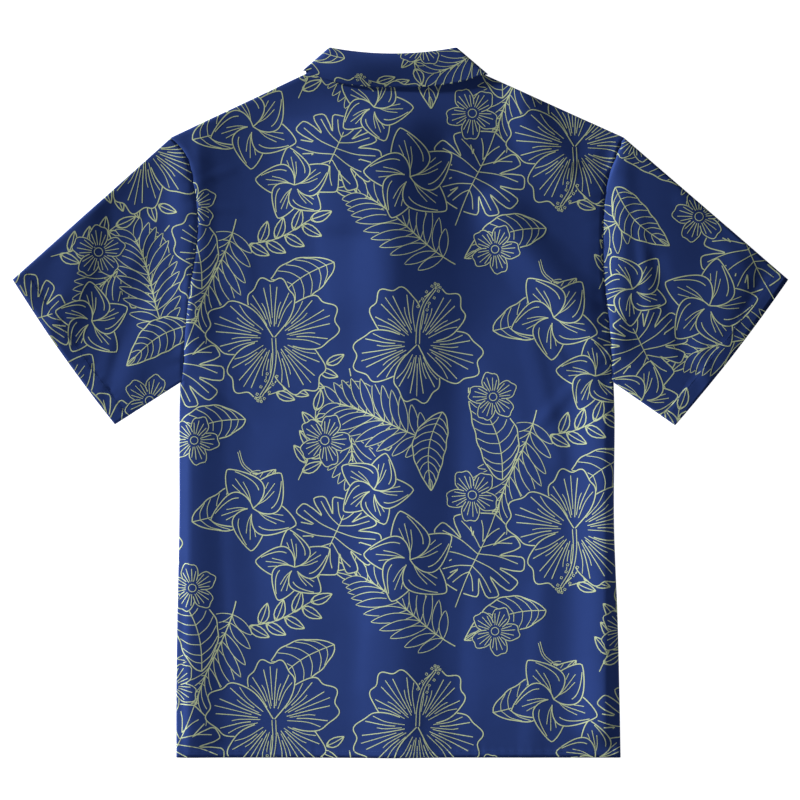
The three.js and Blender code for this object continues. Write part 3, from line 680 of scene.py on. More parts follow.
def neck_ring(back, fronts):
    """The neck seam from the left front's centre over the back to the right one's: points and places."""
    leaf = []
    for is_left in (True, False):
        points = fronts[0 if is_left else 1][0][SHOULDER_STEPS + 2 : -FRONT_EDGE_STEPS]
        keep = np.unique(np.linspace(0, len(points) - 1, COLLAR_LEAF_STEPS).astype(int))
        share = (keep + 1) / len(points)
        leaf.append((points[keep], share))
    columns = back_columns()
    middle = slice(NECK_COLUMN, len(columns["pad"]) - NECK_COLUMN)
    neck, turn, left = columns["neck"][middle], columns["turn"][middle], columns["left"][middle]
    on_back = (neck > 0) | (turn == 0)
    points = np.vstack([leaf[0][0][::-1], back[0, middle], leaf[1][0]])
    counts = (len(leaf[0][1]), len(neck), len(leaf[1][1]))
    return points, {
        "left": np.concatenate([np.full(counts[0], True), left, np.full(counts[2], False)]),
        "part": np.concatenate([np.full(counts[0], 2), np.where(on_back, 0, 1), np.full(counts[2], 2)]),
        "turn": np.concatenate([np.zeros(counts[0]), np.pi * turn, np.zeros(counts[2])]),
        "share": np.concatenate([leaf[0][1][::-1], np.maximum(neck, 0), leaf[1][1]]),
    }


def collar_line(line, upper, lower, inside, ring):
    """A collar line over the neck's columns: across the back, round its corners, and down to its ends."""
    left, part, share = ring["left"], ring["part"], ring["share"]
    inward = pick(left, INWARD)
    corner_at = pick(left, (line["corner"][0][0], line["corner"][1][0]))
    corner_up = pick(left, (line["corner"][0][1], line["corner"][1][1]))
    top = pick(left, upper)
    radius = (top - lower) / 2
    start = corner_at + inward * (inside + radius)
    middle = (line["corner"][0][0] + line["corner"][1][0]) / 2
    back_y = mix(line["mid_y"], corner_up, (1 - share) ** line["power"])
    back_z = mix((upper[0] + upper[1]) / 2, top, (1 - share) ** 2)
    turn_x = corner_at + inward * (inside + radius * inset(ring["turn"]))
    turn_z = mix(lower, top, on_upper(ring["turn"]))
    end_x = pick(left, (line["end"][0][0], line["end"][1][0]))
    end_y = pick(left, (line["end"][0][1], line["end"][1][1]))
    front_y = mix(end_y, corner_up, (1 - share) ** line["end_power"])
    x = np.choose(part, [mix(start, middle, share), turn_x, mix(start, end_x, share)])
    y = np.choose(part, [back_y, corner_up, front_y])
    z = np.choose(part, [back_z, turn_z, lower + 0 * share])
    return np.column_stack([x, y, z])


def collar_grid(back, fronts):
    """The collar's middle surface: rows up the stand, over the fold and down the fall."""
    points, ring = neck_ring(back, fronts)
    stand_top = collar_line(FOLD_LINE, (BACK_Z, BACK_Z), FLOOR_Z + LAYER, LAYER, ring)
    fall_top = collar_line(FOLD_LINE, (BACK_Z + LAYER, BACK_Z + LAYER), FLOOR_Z, 0, ring)
    lifted = tuple(BACK_Z + LAYER + lift for lift in FALL_LIFT)
    fall_edge = collar_line(FALL_LINE, lifted, FLOOR_Z, 0, ring)
    out = (stand_top - points) * [1, 1, 0]
    out /= np.linalg.norm(out, axis=1)[:, None]
    rows = [mix(points, stand_top, i / STAND_STEPS) for i in range(STAND_STEPS)]
    for i in range(TURN_STEPS + 1):
        turn = math.pi * i / TURN_STEPS
        rows.append(mix(stand_top, fall_top, 1 - on_upper(turn)) + out * LAYER / 2 * math.sin(turn))
    rows += [mix(fall_top, fall_edge, i / FALL_STEPS) for i in range(1, FALL_STEPS + 1)]
    grid = np.array(rows)
    down = clamp((np.arange(len(grid)) - STAND_STEPS - TURN_STEPS) / FALL_STEPS)[:, None]
    across = clamp((FALL_DROOP_END - grid[..., 0]) / FALL_DROOP_FADE)
    fall = (ring["part"] == 0)[None]
    lift = fold_sum(COLLAR_FOLDS, COLLAR_FOLD_END, grid[..., 0], grid[..., 1]) * np.sin(np.pi * down**0.8)
    grid[..., 2] += (lift - FALL_DROOP * down**1.5 * across) * fall
    return grid


def grid_normals(grid, closed):
    """Unit normals of a grid: the cross product of its two directions, wrapped round where it is a tube."""
    down = np.gradient(grid, axis=0)
    if closed:
        wrapped = np.concatenate([grid[:, -1:], grid, grid[:, :1]], axis=1)
        across = np.gradient(wrapped, axis=1)[:, 1:-1]
    else:
        across = np.gradient(grid, axis=1)
    normal = np.cross(down, across)
    return normal / np.maximum(np.linalg.norm(normal, axis=2), TINY)[..., None]


class Cloth:
    """One piece of cloth: its two faces, the way out of the garment, and its flat layout in millimetres."""

    def __init__(self, name, grid, sign, flat, closed=False, thick=None):
        self.name = name
        self.closed = closed
        self.flat = flat
        self.normals = grid_normals(grid, closed) * sign
        self.outer = grid + self.normals * CLOTH_HALF
        wall = CLOTH_THICK if thick is None else thick[..., None]
        self.inner = self.outer - self.normals * wall
        for face in (self.outer, self.inner):
            face[..., 2] = np.maximum(face[..., 2], LOWEST)

    def joined(self, values):
        """A grid's values, with the first column repeated at the end of a closed ring."""
        return np.concatenate([values, values[:, :1]], axis=1) if self.closed else values


def row_layout(grid, start, way):
    """Distances along each row from a column, growing by the distances between neighbouring points."""
    steps = np.linalg.norm(np.diff(grid, axis=1), axis=2)
    total = np.concatenate([np.zeros((len(grid), 1)), np.cumsum(steps, axis=1)], axis=1)
    return way * (total - total[:, start : start + 1])


def back_flat(grid):
    """The back's layout: its own x and y, with the rolled edges opened out flat beyond them."""
    flat = grid[..., :2].copy()
    for cut, inner in ((slice(0, PAD_STEPS + 1), PAD_STEPS), (slice(-PAD_STEPS - 1, None), -PAD_STEPS - 1)):
        lengths = row_layout(grid, inner if inner > 0 else len(grid[0]) + inner, 1)
        flat[:, cut, 0] = (grid[:, inner, 0])[:, None] + lengths[:, cut]
    turned = np.swapaxes(grid, 0, 1)
    heights = row_layout(turned, TURN_STEPS, -1).T
    flat[:TURN_STEPS, :, 1] = grid[TURN_STEPS, :, 1] + heights[:TURN_STEPS]
    return flat


def unfold(columns, start, end, way):
    """Flat places of columns beyond a fold line: straight out from it by the distance across it."""
    along = np.subtract(end, start) / math.dist(start, end)
    out = np.array([-along[1], along[0]]) * way
    steps = np.diff(columns, axis=1)
    across = np.cumsum(np.hypot(steps[..., :2] @ out, steps[..., 2]), axis=1)
    across = np.concatenate([np.zeros((len(columns), 1)), across], axis=1)
    first = columns[:, :1, :2]
    slid = (columns[..., :2] - first) @ along
    return first + across[..., None] * out + slid[..., None] * along


def sleeve_flat(grid, side):
    """A sleeve cut open under the arm: its upper half as it lies, the rest unfolded, its length along -Y."""
    top = FRONT_ARMHOLE_STEPS - 1 + TURN_STEPS
    under = len(grid[0]) - 1 - TURN_STEPS
    way = INWARD[side]
    around = np.concatenate([grid, grid[:, :1]], axis=1)
    flat = around[..., :2].copy()
    flat[:, : top + 1] = unfold(around[:, top::-1], SHOULDER[side], CUFF_TOP[side], -way)[:, ::-1]
    flat[:, under:] = unfold(around[:, under:], UNDERARM[side], CUFF_UNDER[side], way)
    start = np.add(SHOULDER[side], UNDERARM[side]) / 2
    end = np.add(CUFF_TOP[side], CUFF_UNDER[side]) / 2
    x, y = (end - start) / math.dist(start, end)
    return flat @ np.array([[-y, -x], [x, -y]])


def ring_flat(grid, start):
    """The collar's layout: distance round it from one column, and distance down it."""
    across = row_layout(grid, start, 1)
    down = row_layout(np.swapaxes(grid, 0, 1), 0, 1).T.mean(1, keepdims=True)
    return np.stack(np.broadcast_arrays(across, down), axis=-1).copy()


def hem_wall(grid):
    """Wall thickness of a body panel: doubled at the hem, where the cloth is turned in."""
    return CLOTH_THICK + HEM_THICK * clamp((HEM_Y + HEM_STITCH + HEM_STEP - grid[..., 1]) / HEM_STEP)


def cuff_wall(grid):
    """Wall thickness of a sleeve: doubled at the cuff in the same way."""
    cuff_in, _ = cuff_off(grid[..., 0], grid[..., 1])
    return CLOTH_THICK + HEM_THICK * clamp((CUFF_STITCH + HEM_STEP - cuff_in) / HEM_STEP)


def all_cloth():
    """Every piece of cloth, worked out from the same corners, so that edges meet at the seams."""
    back = back_grid()
    fronts = (front_grid(back, True), front_grid(back, False))
    sleeves = (sleeve_grid(back, fronts[0], True), sleeve_grid(back, fronts[1], False))
    collar = collar_grid(back, fronts)
    pieces = [Cloth("back", back, 1, back_flat(back), thick=hem_wall(back))]
    for side, name in ((0, "front_left"), (1, "front_right")):
        sign = (-1, 1)[side]
        pieces.append(Cloth(name, fronts[side], sign, fronts[side][..., :2], thick=hem_wall(fronts[side])))
    for side, name in ((0, "sleeve_left"), (1, "sleeve_right")):
        layout = sleeve_flat(sleeves[side], side)
        pieces.append(Cloth(name, sleeves[side], (1, -1)[side], layout, True, cuff_wall(sleeves[side])))
    pieces.append(Cloth("collar", collar, 1, ring_flat(collar, len(collar[0]) // 2)))
    return {piece.name: piece for piece in pieces}


def shell_faces(rows, width, across):
    """Quads of a closed wall: the outer grid, the inner grid turned round, and the rims between them.

    width is how many columns the points have, and across how many quads lie side by side."""
    closed = across == width
    r, c = np.meshgrid(np.arange(rows - 1), np.arange(across), indexing="ij")
    r, c = r.ravel(), c.ravel()
    nxt = (c + 1) % width
    count = rows * width
    outer = np.column_stack([r * width + c, (r + 1) * width + c, (r + 1) * width + nxt, r * width + nxt])
    inner = outer[:, ::-1] + count
    c = np.arange(across)
    nxt = (c + 1) % width
    end = (rows - 1) * width
    rims = [
        np.column_stack([c, nxt, nxt + count, c + count]),
        np.column_stack([end + nxt, end + c, end + c + count, end + nxt + count]),
    ]
    if not closed:
        r = np.arange(rows - 1) * width
        low = r + width
        rims.append(np.column_stack([low, r, r + count, low + count]))
        r, low = r + across, low + across
        rims.append(np.column_stack([r, low, low + count, r + count]))
    return np.vstack([outer, inner] + rims)


def signed_volume(points, faces):
    a, b, c, d = (points[faces[:, i]] for i in range(4))
    return (np.einsum("ij,ij->i", a, np.cross(b, c)) + np.einsum("ij,ij->i", a, np.cross(c, d))).sum()


def new_mesh(name, points, faces, uv, material, uv_faces=None, smooth=True):
    """An object at the origin from points in millimetres, faces of one size, and a layout for each corner."""
    uv_faces = faces if uv_faces is None else uv_faces
    mesh = bpy.data.meshes.new(name)
    size = faces.shape[1]
    mesh.vertices.add(len(points))
    mesh.vertices.foreach_set("co", (points * MM).astype(np.float32).ravel())
    mesh.loops.add(faces.size)
    mesh.loops.foreach_set("vertex_index", faces.astype(np.int32).ravel())
    mesh.polygons.add(len(faces))
    mesh.polygons.foreach_set("loop_start", np.arange(0, faces.size, size, dtype=np.int32))
    mesh.polygons.foreach_set("use_smooth", np.full(len(faces), smooth))
    mesh.update(calc_edges=True)
    layer = mesh.uv_layers.new(name="OFBake")
    layer.data.foreach_set("uv", uv[uv_faces.ravel()].astype(np.float32).ravel())
    mesh.validate()
    piece = bpy.data.objects.new(name, mesh)
    bpy.context.scene.collection.objects.link(piece)
    piece.data.materials.append(material)
    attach(piece, "root")
    return piece


def bake_layout(flat, column, count):
    """A flat layout fitted into one column of the unit square out of count."""
    low, high = flat.reshape(-1, 2).min(0), flat.reshape(-1, 2).max(0)
    margin = 0.01
    unit = (flat - low) / np.maximum(high - low, TINY) * (1 - 2 * margin) + margin
    return (unit + [column, 0]) / [count, 1]


def cloth_mesh(cloth, name, material):
    """The closed shell of one piece of cloth."""
    rows, width = cloth.outer.shape[:2]
    across = width if cloth.closed else width - 1
    points = np.vstack([cloth.outer.reshape(-1, 3), cloth.inner.reshape(-1, 3)])
    faces = shell_faces(rows, width, across)
    uv_faces = shell_faces(rows, across + 1, across)[: len(faces)]
    if signed_volume(points, faces) < 0:
        faces, uv_faces = faces[:, ::-1], uv_faces[:, ::-1]
    flat = cloth.flat.reshape(-1, 2)
    uv = np.vstack([bake_layout(flat, 0, 2), bake_layout(flat, 1, 2)])
    return new_mesh(name, points, faces, uv, material, uv_faces)


def sample(values, r, c):
    """Values of a grid at fractional rows and columns, mixed from the four round each."""
    rows, width = values.shape[:2]
    i = np.clip(np.floor(r).astype(int), 0, rows - 2)
    j = np.clip(np.floor(c).astype(int), 0, width - 2)
    f, g = (r - i)[:, None], (c - j)[:, None]
    top = mix(values[i, j], values[i, j + 1], g)
    return mix(top, mix(values[i + 1, j], values[i + 1, j + 1], g), f)


def locate(flat, points):
    """Fractional rows and columns of flat points in a layout: nearest coarse point, then Newton's steps."""
    rows, width = flat.shape[:2]
    row_at = np.arange(0, rows, LOCATE_STRIDE)
    column_at = np.arange(0, width, LOCATE_STRIDE)
    coarse = flat[row_at][:, column_at].reshape(-1, 2)
    r, c = np.zeros(len(points)), np.zeros(len(points))
    for start in range(0, len(points), LOCATE_CHUNK):
        part = points[start : start + LOCATE_CHUNK]
        near = ((part[:, None] - coarse[None]) ** 2).sum(2).argmin(1)
        r[start : start + LOCATE_CHUNK] = row_at[near // len(column_at)]
        c[start : start + LOCATE_CHUNK] = column_at[near % len(column_at)]
    for _ in range(LOCATE_ROUNDS):
        r, c = np.clip(r, 0, rows - LOCATE_EDGE), np.clip(c, 0, width - LOCATE_EDGE)
        i, j = np.floor(r).astype(int), np.floor(c).astype(int)
        miss = points - sample(flat, r, c)
        f, g = (r - i)[:, None], (c - j)[:, None]
        down = mix(flat[i + 1, j] - flat[i, j], flat[i + 1, j + 1] - flat[i, j + 1], g)
        side = mix(flat[i, j + 1] - flat[i, j], flat[i + 1, j + 1] - flat[i + 1, j], f)
        det = down[:, 0] * side[:, 1] - down[:, 1] * side[:, 0]
        det = np.where(np.abs(det) < TINY, TINY, det)
        row_step = (miss[:, 0] * side[:, 1] - miss[:, 1] * side[:, 0]) / det
        column_step = (down[:, 0] * miss[:, 1] - down[:, 1] * miss[:, 0]) / det
        r = r + np.clip(row_step, -LOCATE_LEAP, LOCATE_LEAP)
        c = c + np.clip(column_step, -LOCATE_LEAP, LOCATE_LEAP)
    r, c = np.clip(r, 0, rows - LOCATE_EDGE), np.clip(c, 0, width - LOCATE_EDGE)
    found = np.linalg.norm(points - sample(flat, r, c), axis=1) < LOCATE_MISS
    return r, c, found


def resample(points, step):
    """A line's points at even distances of about a step."""
    lengths = np.concatenate([[0], np.cumsum(np.hypot(*np.diff(points, axis=0).T))])
    if lengths[-1] < SHORTEST:
        return None
    count = max(2, int(round(lengths[-1] / step)) + 1)
    at = np.linspace(0, lengths[-1], count)
    return np.column_stack([np.interp(at, lengths, points[:, k]) for k in (0, 1)])


def runs(shown):
    """Starts and ends of the stretches of True in an array."""
    edges = np.flatnonzero(np.diff(np.concatenate([[0], shown.astype(int), [0]])))
    return zip(edges[::2], edges[1::2])


def refine(cloth, lines):
    """Lines with points added halfway along the steps where the cloth bends or ends."""
    flat, outer = cloth.flat, cloth.joined(cloth.outer)
    points = np.vstack([line for line, width in lines])
    halfway = (points[1:] + points[:-1]) / 2
    r, c, found = locate(flat, points)
    placed = sample(outer, r, c)
    r, c, between = locate(flat, halfway)
    off = np.linalg.norm(sample(outer, r, c) - (placed[1:] + placed[:-1]) / 2, axis=1)
    added = found[1:] & found[:-1] & between & (off > INK_BEND) | (found[1:] != found[:-1])
    result = []
    start = 0
    for line, width in lines:
        at = np.flatnonzero(added[start : start + len(line) - 1])
        result.append((np.insert(line, at + 1, halfway[start + at], axis=0), width))
        start += len(line)
    return result


def strip_mesh(cloth, lines, lift, root, name, material):
    """Lines laid on a cloth's outer face as one mesh: each a strip of its width with a root sunk in the wall.

    Every line of the flat layout has a left, a right and a root row of points, found by locate."""
    flat, outer, normals = cloth.flat, cloth.joined(cloth.outer), cloth.joined(cloth.normals)
    centres, lefts, rights, spans, raised = [], [], [], [], []
    total = 0
    for number, (points, width) in enumerate(lines):
        raised.append(np.full(len(points), number % INK_STEPS * INK_RISE))
        heading = np.gradient(points, axis=0)
        heading /= np.maximum(np.hypot(*heading.T), TINY)[:, None]
        side = np.column_stack([-heading[:, 1], heading[:, 0]]) * width / 2
        centres.append(points)
        lefts.append(points + side)
        rights.append(points - side)
        spans.append((total, total + len(points)))
        total += len(points)
    if not total:
        raise RuntimeError(f"{name}: no line falls on the cloth")
    placed, shown = [], np.ones(total, bool)
    tops = (lift + np.concatenate(raised))[:, None]
    for group, height in ((lefts, tops), (rights, tops), (centres, -root)):
        r, c, found = locate(flat, np.vstack(group))
        shown &= found
        placed.append(sample(outer, r, c) + sample(normals, r, c) * height)
    points, faces, uv = [], [], []
    flat_centres = np.vstack(centres)
    base = 0
    for start, end in spans:
        for a, b in runs(shown[start:end]):
            if b - a < 2:
                continue
            rows = slice(start + a, start + b)
            count = b - a
            points += [placed[0][rows], placed[1][rows], placed[2][rows]]
            uv += [flat_centres[rows]] * 3
            k = np.arange(count - 1)
            sides = (0, count, 2 * count)
            for one, two in zip(sides, sides[1:] + sides[:1]):
                quad = np.column_stack([k + one, k + two, k + two + 1, k + one + 1])
                faces.append(quad + base)
            ends = [(0, 2 * count, count), (count - 1, 2 * count - 1, 3 * count - 1)]
            faces.append(np.array([[a0, b0, c0, c0] for a0, b0, c0 in ends]) + base)
            base += 3 * count
    return finished_strips(np.vstack(points), np.vstack(faces), np.vstack(uv), name, material)


def finished_strips(points, faces, uv, name, material):
    """Strips made into triangles that face out, with their layout in the unit square."""
    triangles = np.vstack([faces[:, [0, 1, 2]], faces[:, [0, 2, 3]]])
    solid = (triangles[:, 1] != triangles[:, 2]) & (triangles[:, 0] != triangles[:, 2])
    triangles = triangles[solid]
    a, b, c = (points[triangles[:, i]] for i in range(3))
    if np.einsum("ij,ij->i", a, np.cross(b, c)).sum() < 0:
        triangles = triangles[:, ::-1]
    return new_mesh(name, points, triangles, bake_layout(uv, 0, 1), material, smooth=False)


def curve(points, count):
    """A smooth line through points: Catmull-Rom, sampled evenly in parameter."""
    points = np.asarray(points, float)
    knots = np.vstack([2 * points[0] - points[1], points, 2 * points[-1] - points[-2]])
    t = np.linspace(0, len(points) - 1, count)
    i = np.minimum(t.astype(int), len(points) - 2)
    f = (t - i)[:, None]
    a, b, c, d = (knots[i + k] for k in range(4))
    return 0.5 * (2 * b + (c - a) * f + (2 * a - 5 * b + 4 * c - d) * f**2 + (3 * b - a - 3 * c + d) * f**3)


def turned(points, degrees, move=(0.0, 0.0)):
    """Points turned about the origin, then moved."""
    a = math.radians(degrees)
    return points @ np.array([[math.cos(a), math.sin(a)], [-math.sin(a), math.cos(a)]]) + np.asarray(move)


def within(points, outline):
    """Which points lie in a closed outline: an odd number of its edges cross the level of each."""
    x, y = points[:, 0][:, None], points[:, 1][:, None]
    ax, ay = outline[:, 0], outline[:, 1]
    bx, by = np.roll(ax, -1), np.roll(ay, -1)
    crosses = (ay > y) != (by > y)
    slope = np.where(by == ay, 1.0, by - ay)
    return (crosses & (x < (bx - ax) * (y - ay) / slope + ax)).sum(1) % 2 == 1


class Motif:
    """Lines with their widths, and the outlines that hide what lies beneath."""

    def __init__(self):
        self.lines = []
        self.covers = []

    def draw(self, points, width, closed=False):
        points = np.asarray(points, float)
        if closed:
            points = np.vstack([points, points[:1]])
        self.lines.append((points, width))

    def cover(self, outline):
        self.covers.append(np.asarray(outline, float))

    def placed(self, degrees, move=(0.0, 0.0)):
        copy = Motif()
        copy.lines = [(turned(points, degrees, move), width) for points, width in self.lines]
        copy.covers = [turned(points, degrees, move) for points in self.covers]
        return copy

    def under(self, covers):
        """The same lines, cut away where the given outlines cover them."""
        copy = Motif()
        copy.covers = self.covers
        for points, width in self.lines:
            low, high = points.min(0), points.max(0)
            shown = np.ones(len(points), bool)
            for outline in covers:
                if (outline.min(0) < high).all() and (outline.max(0) > low).all():
                    shown &= ~within(points, outline)
            copy.lines += [(points[a:b], width) for a, b in runs(shown) if b - a > 1]
        return copy

    def add(self, other):
        self.lines += other.lines
        self.covers += other.covers


def pinwheel(petals, above):
    """Petals laid round a centre, each tucked under the next one and under what lies above them all."""
    flower = Motif()
    for k, petal in enumerate(petals):
        after = petals[(k + 1) % len(petals)]
        flower.lines += petal.under(above + after.covers).lines
        flower.covers += petal.covers
    flower.covers += above
    return flower


# The motifs' lines are given as shares of their size, along +Y


def fan_petal(length, spread, ruffle, waves, base, phase):
    """A petal's closed edge along +Y: a polar fan whose radius swells with the sine and ripples."""
    t = np.linspace(0, 1, 60)
    angle = spread * (2 * t - 1)
    wave = ruffle * np.sin(2 * np.pi * waves * t + phase) * np.sin(np.pi * t) ** 0.8
    radius = base + (length - base) * np.sin(np.pi * t) ** 0.42 * (1 + wave)
    return np.column_stack([radius * np.sin(angle), radius * np.cos(angle)])


def stamen(size):
    """A bent column with a double line and small rings round its end."""
    motif = Motif()
    middle = curve([(0, 0), (0.10, 0.30), (0.26, 0.58), (0.50, 0.78)], 16) * size
    side = np.gradient(middle, axis=0)[:, ::-1] * [1, -1]
    side /= np.hypot(*side.T)[:, None]
    half = np.linspace(0.030, 0.018, 16)[:, None] * size
    for way in (-1, 1):
        motif.draw(middle + way * side * half, VEIN)
    motif.cover(np.vstack([middle + side * half, (middle - side * half)[::-1]]))
    ring = 0.022 * size * np.column_stack([np.cos(ROUND), np.sin(ROUND)])
    for k in (9, 11, 13, 15):
        for way in (-1, 1):
            centre = middle[k] + way * side[k] * size * (0.078 if k % 4 == 1 else 0.064)
            motif.draw(centre + ring, FINE, closed=True)
            motif.cover(centre + ring)
    for degrees in (-90, -52, -14):
        tip = middle[-1] + turned(np.array([[0.0, 0.08 * size]]), degrees)[0]
        motif.draw(np.array([middle[-1], tip]), FINE)
        motif.draw(tip + ring, FINE, closed=True)
        motif.cover(tip + ring)
    return motif


def hibiscus(size):
    """Five broad ruffled petals with veins fanned out of the throat, and a stamen column."""
    column = stamen(size)
    petals = []
    for k in range(5):
        long = size * (1.0 + 0.07 * math.sin(2.4 * k))
        petal = Motif()
        edge = fan_petal(long, math.radians(46), 0.05, 4.5, 0.02 * size, 1.3 * k)
        petal.draw(edge, OUTLINE)
        petal.cover(edge)
        for j, fan in enumerate(np.linspace(-30, 30, 9)):
            reach = (0.70, 0.80, 0.62, 0.86, 0.90, 0.86, 0.62, 0.80, 0.70)[j]
            a = math.radians(fan)
            near = (0.24, 0.34, 0.20)[j % 3]
            places = ((0.8, near), (0.85, 0.5), (1, reach))
            path = [(math.sin(a * turn) * r, math.cos(a * turn) * r) for turn, r in places]
            line = curve(path, 14) * long
            petal.draw(line, VEIN if j % 2 else FINE)
        petals.append(petal.placed(72 * k + 20))
    flower = pinwheel(petals, column.covers)
    flower.lines += column.lines
    return flower


def plumeria(size):
    """Five smooth petals laid over each other like a pinwheel, each with a curled edge and inner lines."""
    petals = []
    t = np.linspace(0, 1, 46)
    for k in range(5):
        long = size * (1 + 0.05 * math.cos(1.9 * k))
        width = 0.40 * long * np.sin(np.pi * t**0.72) ** 0.75
        middle = curve([(0, 0.0), (0.05, 0.45), (-0.06, 1.0)], 46) * long
        side = np.column_stack([width, 0 * t])
        edge = np.vstack([middle - side, (middle + side)[::-1]])
        petal = Motif()
        petal.draw(edge, OUTLINE)
        petal.cover(edge)
        petal.draw((middle + side * 0.66)[14:-5], VEIN)
        for fan, reach in ((-0.46, 0.50), (-0.24, 0.66), (-0.02, 0.74), (0.18, 0.60)):
            line = [(0.02, 0.13), (0.035 + fan * 0.30, 0.34), (fan * 0.55, reach)]
            petal.draw(curve(line, 10) * long, FINE)
        petals.append(petal.placed(72 * k))
    return pinwheel(petals, [])


def blossom(size):
    """A small open flower: five petals round a ring, with short lines on each."""
    ring = 0.16 * size * np.column_stack([np.cos(ROUND), np.sin(ROUND)])
    petals = []
    for k in range(5):
        edge = fan_petal(size, math.radians(40), 0.05, 3, 0.08 * size, 1.0 * k)[::2]
        petal = Motif()
        petal.draw(edge, VEIN)
        petal.cover(edge)
        for fan, reach in ((-22, 0.72), (-8, 0.82), (8, 0.78), (22, 0.70)):
            a = math.radians(fan)
            way = np.array([math.sin(a), math.cos(a)]) * size
            petal.draw(np.array([way * 0.26, way * 0.5, way * reach]), FINE)
        petals.append(petal.placed(72 * k + 10))
    flower = pinwheel(petals, [ring])
    flower.draw(ring, FINE, closed=True)
    return flower


def leaf(length, width=0.42, bend=0.12, pairs=9):
    """A pointed leaf along +Y: a bent midrib, an outline off it, and curved side veins up to the edge."""
    motif = Motif()
    t = np.linspace(0, 1, 40)
    rib = np.column_stack([bend * length * np.sin(np.pi * t) * (1 - 0.3 * t), length * t])
    half = width * length / 2 * np.sin(np.pi * t**0.8) ** 0.85 * (1 + 0.03 * np.sin(10 * np.pi * t))
    side = np.column_stack([half, 0 * t])
    motif.cover(np.vstack([rib - side, (rib + side)[::-1]]))
    motif.draw(rib - side, OUTLINE)
    motif.draw(rib + side, OUTLINE)
    motif.draw(rib, VEIN)
    for i in range(pairs):
        k = int((0.08 + 0.78 * i / (pairs - 1)) * 39)
        tip = min(39, k + 5)
        for way in (-1, 1):
            end = rib[tip] + [way * half[tip] * 0.95, 0]
            middle = (rib[k] + end) / 2 + [way * 0.01 * length, -0.02 * length]
            motif.draw(curve([rib[k], middle, end], 8), FINE)
    return motif


def split_leaf(length):
    """A broad heart leaf whose edge is cut into fingers: a polar outline with deep notches between ribs."""
    motif = Motif()
    fingers = 6
    t = np.linspace(0, 1, 72)
    centre = np.array([0.0, 0.32 * length])
    for way in (-1, 1):
        angle = np.pi * (1 - t) * 0.97
        heart = 0.46 + 0.16 * np.sin(np.pi * t) ** 2 + 0.16 * t**4
        phase = t * fingers
        notch = np.exp(-(((phase - np.round(phase)) / 0.13) ** 2)) * (phase > 0.5) * (phase < fingers - 0.5)
        radius = length * heart * (1 - 0.52 * notch)
        edge = centre + np.column_stack([way * np.sin(angle) * radius, np.cos(angle) * radius])
        motif.draw(edge, OUTLINE)
        motif.cover(np.vstack([edge, centre[None] + [0, 0.3 * length], centre[None] - [0, 0.3 * length]]))
        for finger in range(fingers):
            at = (finger + 0.5) / fingers
            a = np.pi * (1 - at) * 0.97
            reach = length * (0.40 + 0.14 * math.sin(math.pi * at) ** 2 + 0.12 * at**4)
            root = centre + [0, length * (-0.22 + 0.5 * at)]
            end = centre + np.array([way * math.sin(a), math.cos(a)]) * reach
            motif.draw(curve([root, (root + end) / 2 + [0, 0.03 * length], end], 12), VEIN)
    rib = curve([(0.02, -0.34), (0, 0.1), (0.02, 0.6), (0, 0.98)], 30) * length
    motif.draw(rib, VEIN)
    return motif


def frond(length, pairs=11, bend=0.16):
    """A feather palm leaf: a bent rib with a narrow pointed leaflet on each side at every step."""
    motif = Motif()
    width = 0.78 * length
    t = np.linspace(0, 1, 40)
    rib = np.column_stack([bend * length * np.sin(np.pi * t / 2) ** 2, length * t])
    motif.draw(rib, OUTLINE)
    slope = np.gradient(rib, axis=0)
    heading = np.degrees(np.arctan2(slope[:, 0], slope[:, 1]))
    s = np.linspace(0, 1, 12)
    for i in range(pairs):
        at = 0.14 + 0.84 * i / (pairs - 1)
        k = min(39, int(at * 39))
        reach = width / 2 * math.sin(math.pi * (0.16 + 0.74 * (1 - at))) ** 0.8
        for way in (-1, 1):
            body = np.column_stack([0.052 * width * np.sin(np.pi * s) ** 0.8, reach * s])
            edge = np.vstack([body, body[::-1] * [-1, 1]])
            edge[:, 0] += way * 0.10 * reach * (edge[:, 1] / reach) ** 2
            leaflet = Motif()
            leaflet.draw(turned(edge, -way * (60 - 32 * at) - heading[k], rib[k]), FINE)
            leaflet.cover(leaflet.lines[0][0])
            motif.add(leaflet.under(motif.covers[-2:]))
    return motif


def bud(length):
    """A furled flower bud on a bent double stem, with two small sepals."""
    motif = Motif()
    t = np.linspace(0, 1, 24)
    half = 0.17 * length * np.sin(np.pi * t**1.15) ** 0.7
    body = np.column_stack([half, 0.45 * length + 0.55 * length * t])
    edge = np.vstack([body, body[::-1] * [-1, 1]])
    motif.draw(edge, OUTLINE)
    motif.cover(edge)
    for shift in (-0.09, -0.02, 0.06):
        motif.draw(curve([(0, 0.50), (shift * 1.5, 0.72), (shift * 0.6, 0.93)], 10) * length, FINE)
    for way in (-1, 1):
        sepal = [(0, 0.42), (way * 0.13, 0.50), (way * 0.20, 0.68), (way * 0.09, 0.56), (0, 0.47)]
        motif.draw(curve(sepal, 16) * length, FINE)
        stem = [(way * 0.02, 0.43), (0.03 + way * 0.02, 0.22), (-0.06 + way * 0.02, 0)]
        motif.draw(curve(stem, 10) * length, FINE)
    return motif


def sprig(length):
    """A thin bent stem with small pointed leaves on alternate sides and one at its end."""
    motif = Motif()
    leaves = 8
    stem = curve([(0, 0), (0.08, 0.5), (0, 1.0)], 24) * length
    motif.draw(stem, VEIN)
    for i in range(leaves):
        way = 0 if i == leaves - 1 else (-1) ** i
        small = leaf(length * 0.3, 0.44, 0.04, 2)
        at = stem[min(23, int((0.14 + 0.86 * i / (leaves - 1)) * 23))]
        motif.add(small.placed(-way * 50, at))
    return motif


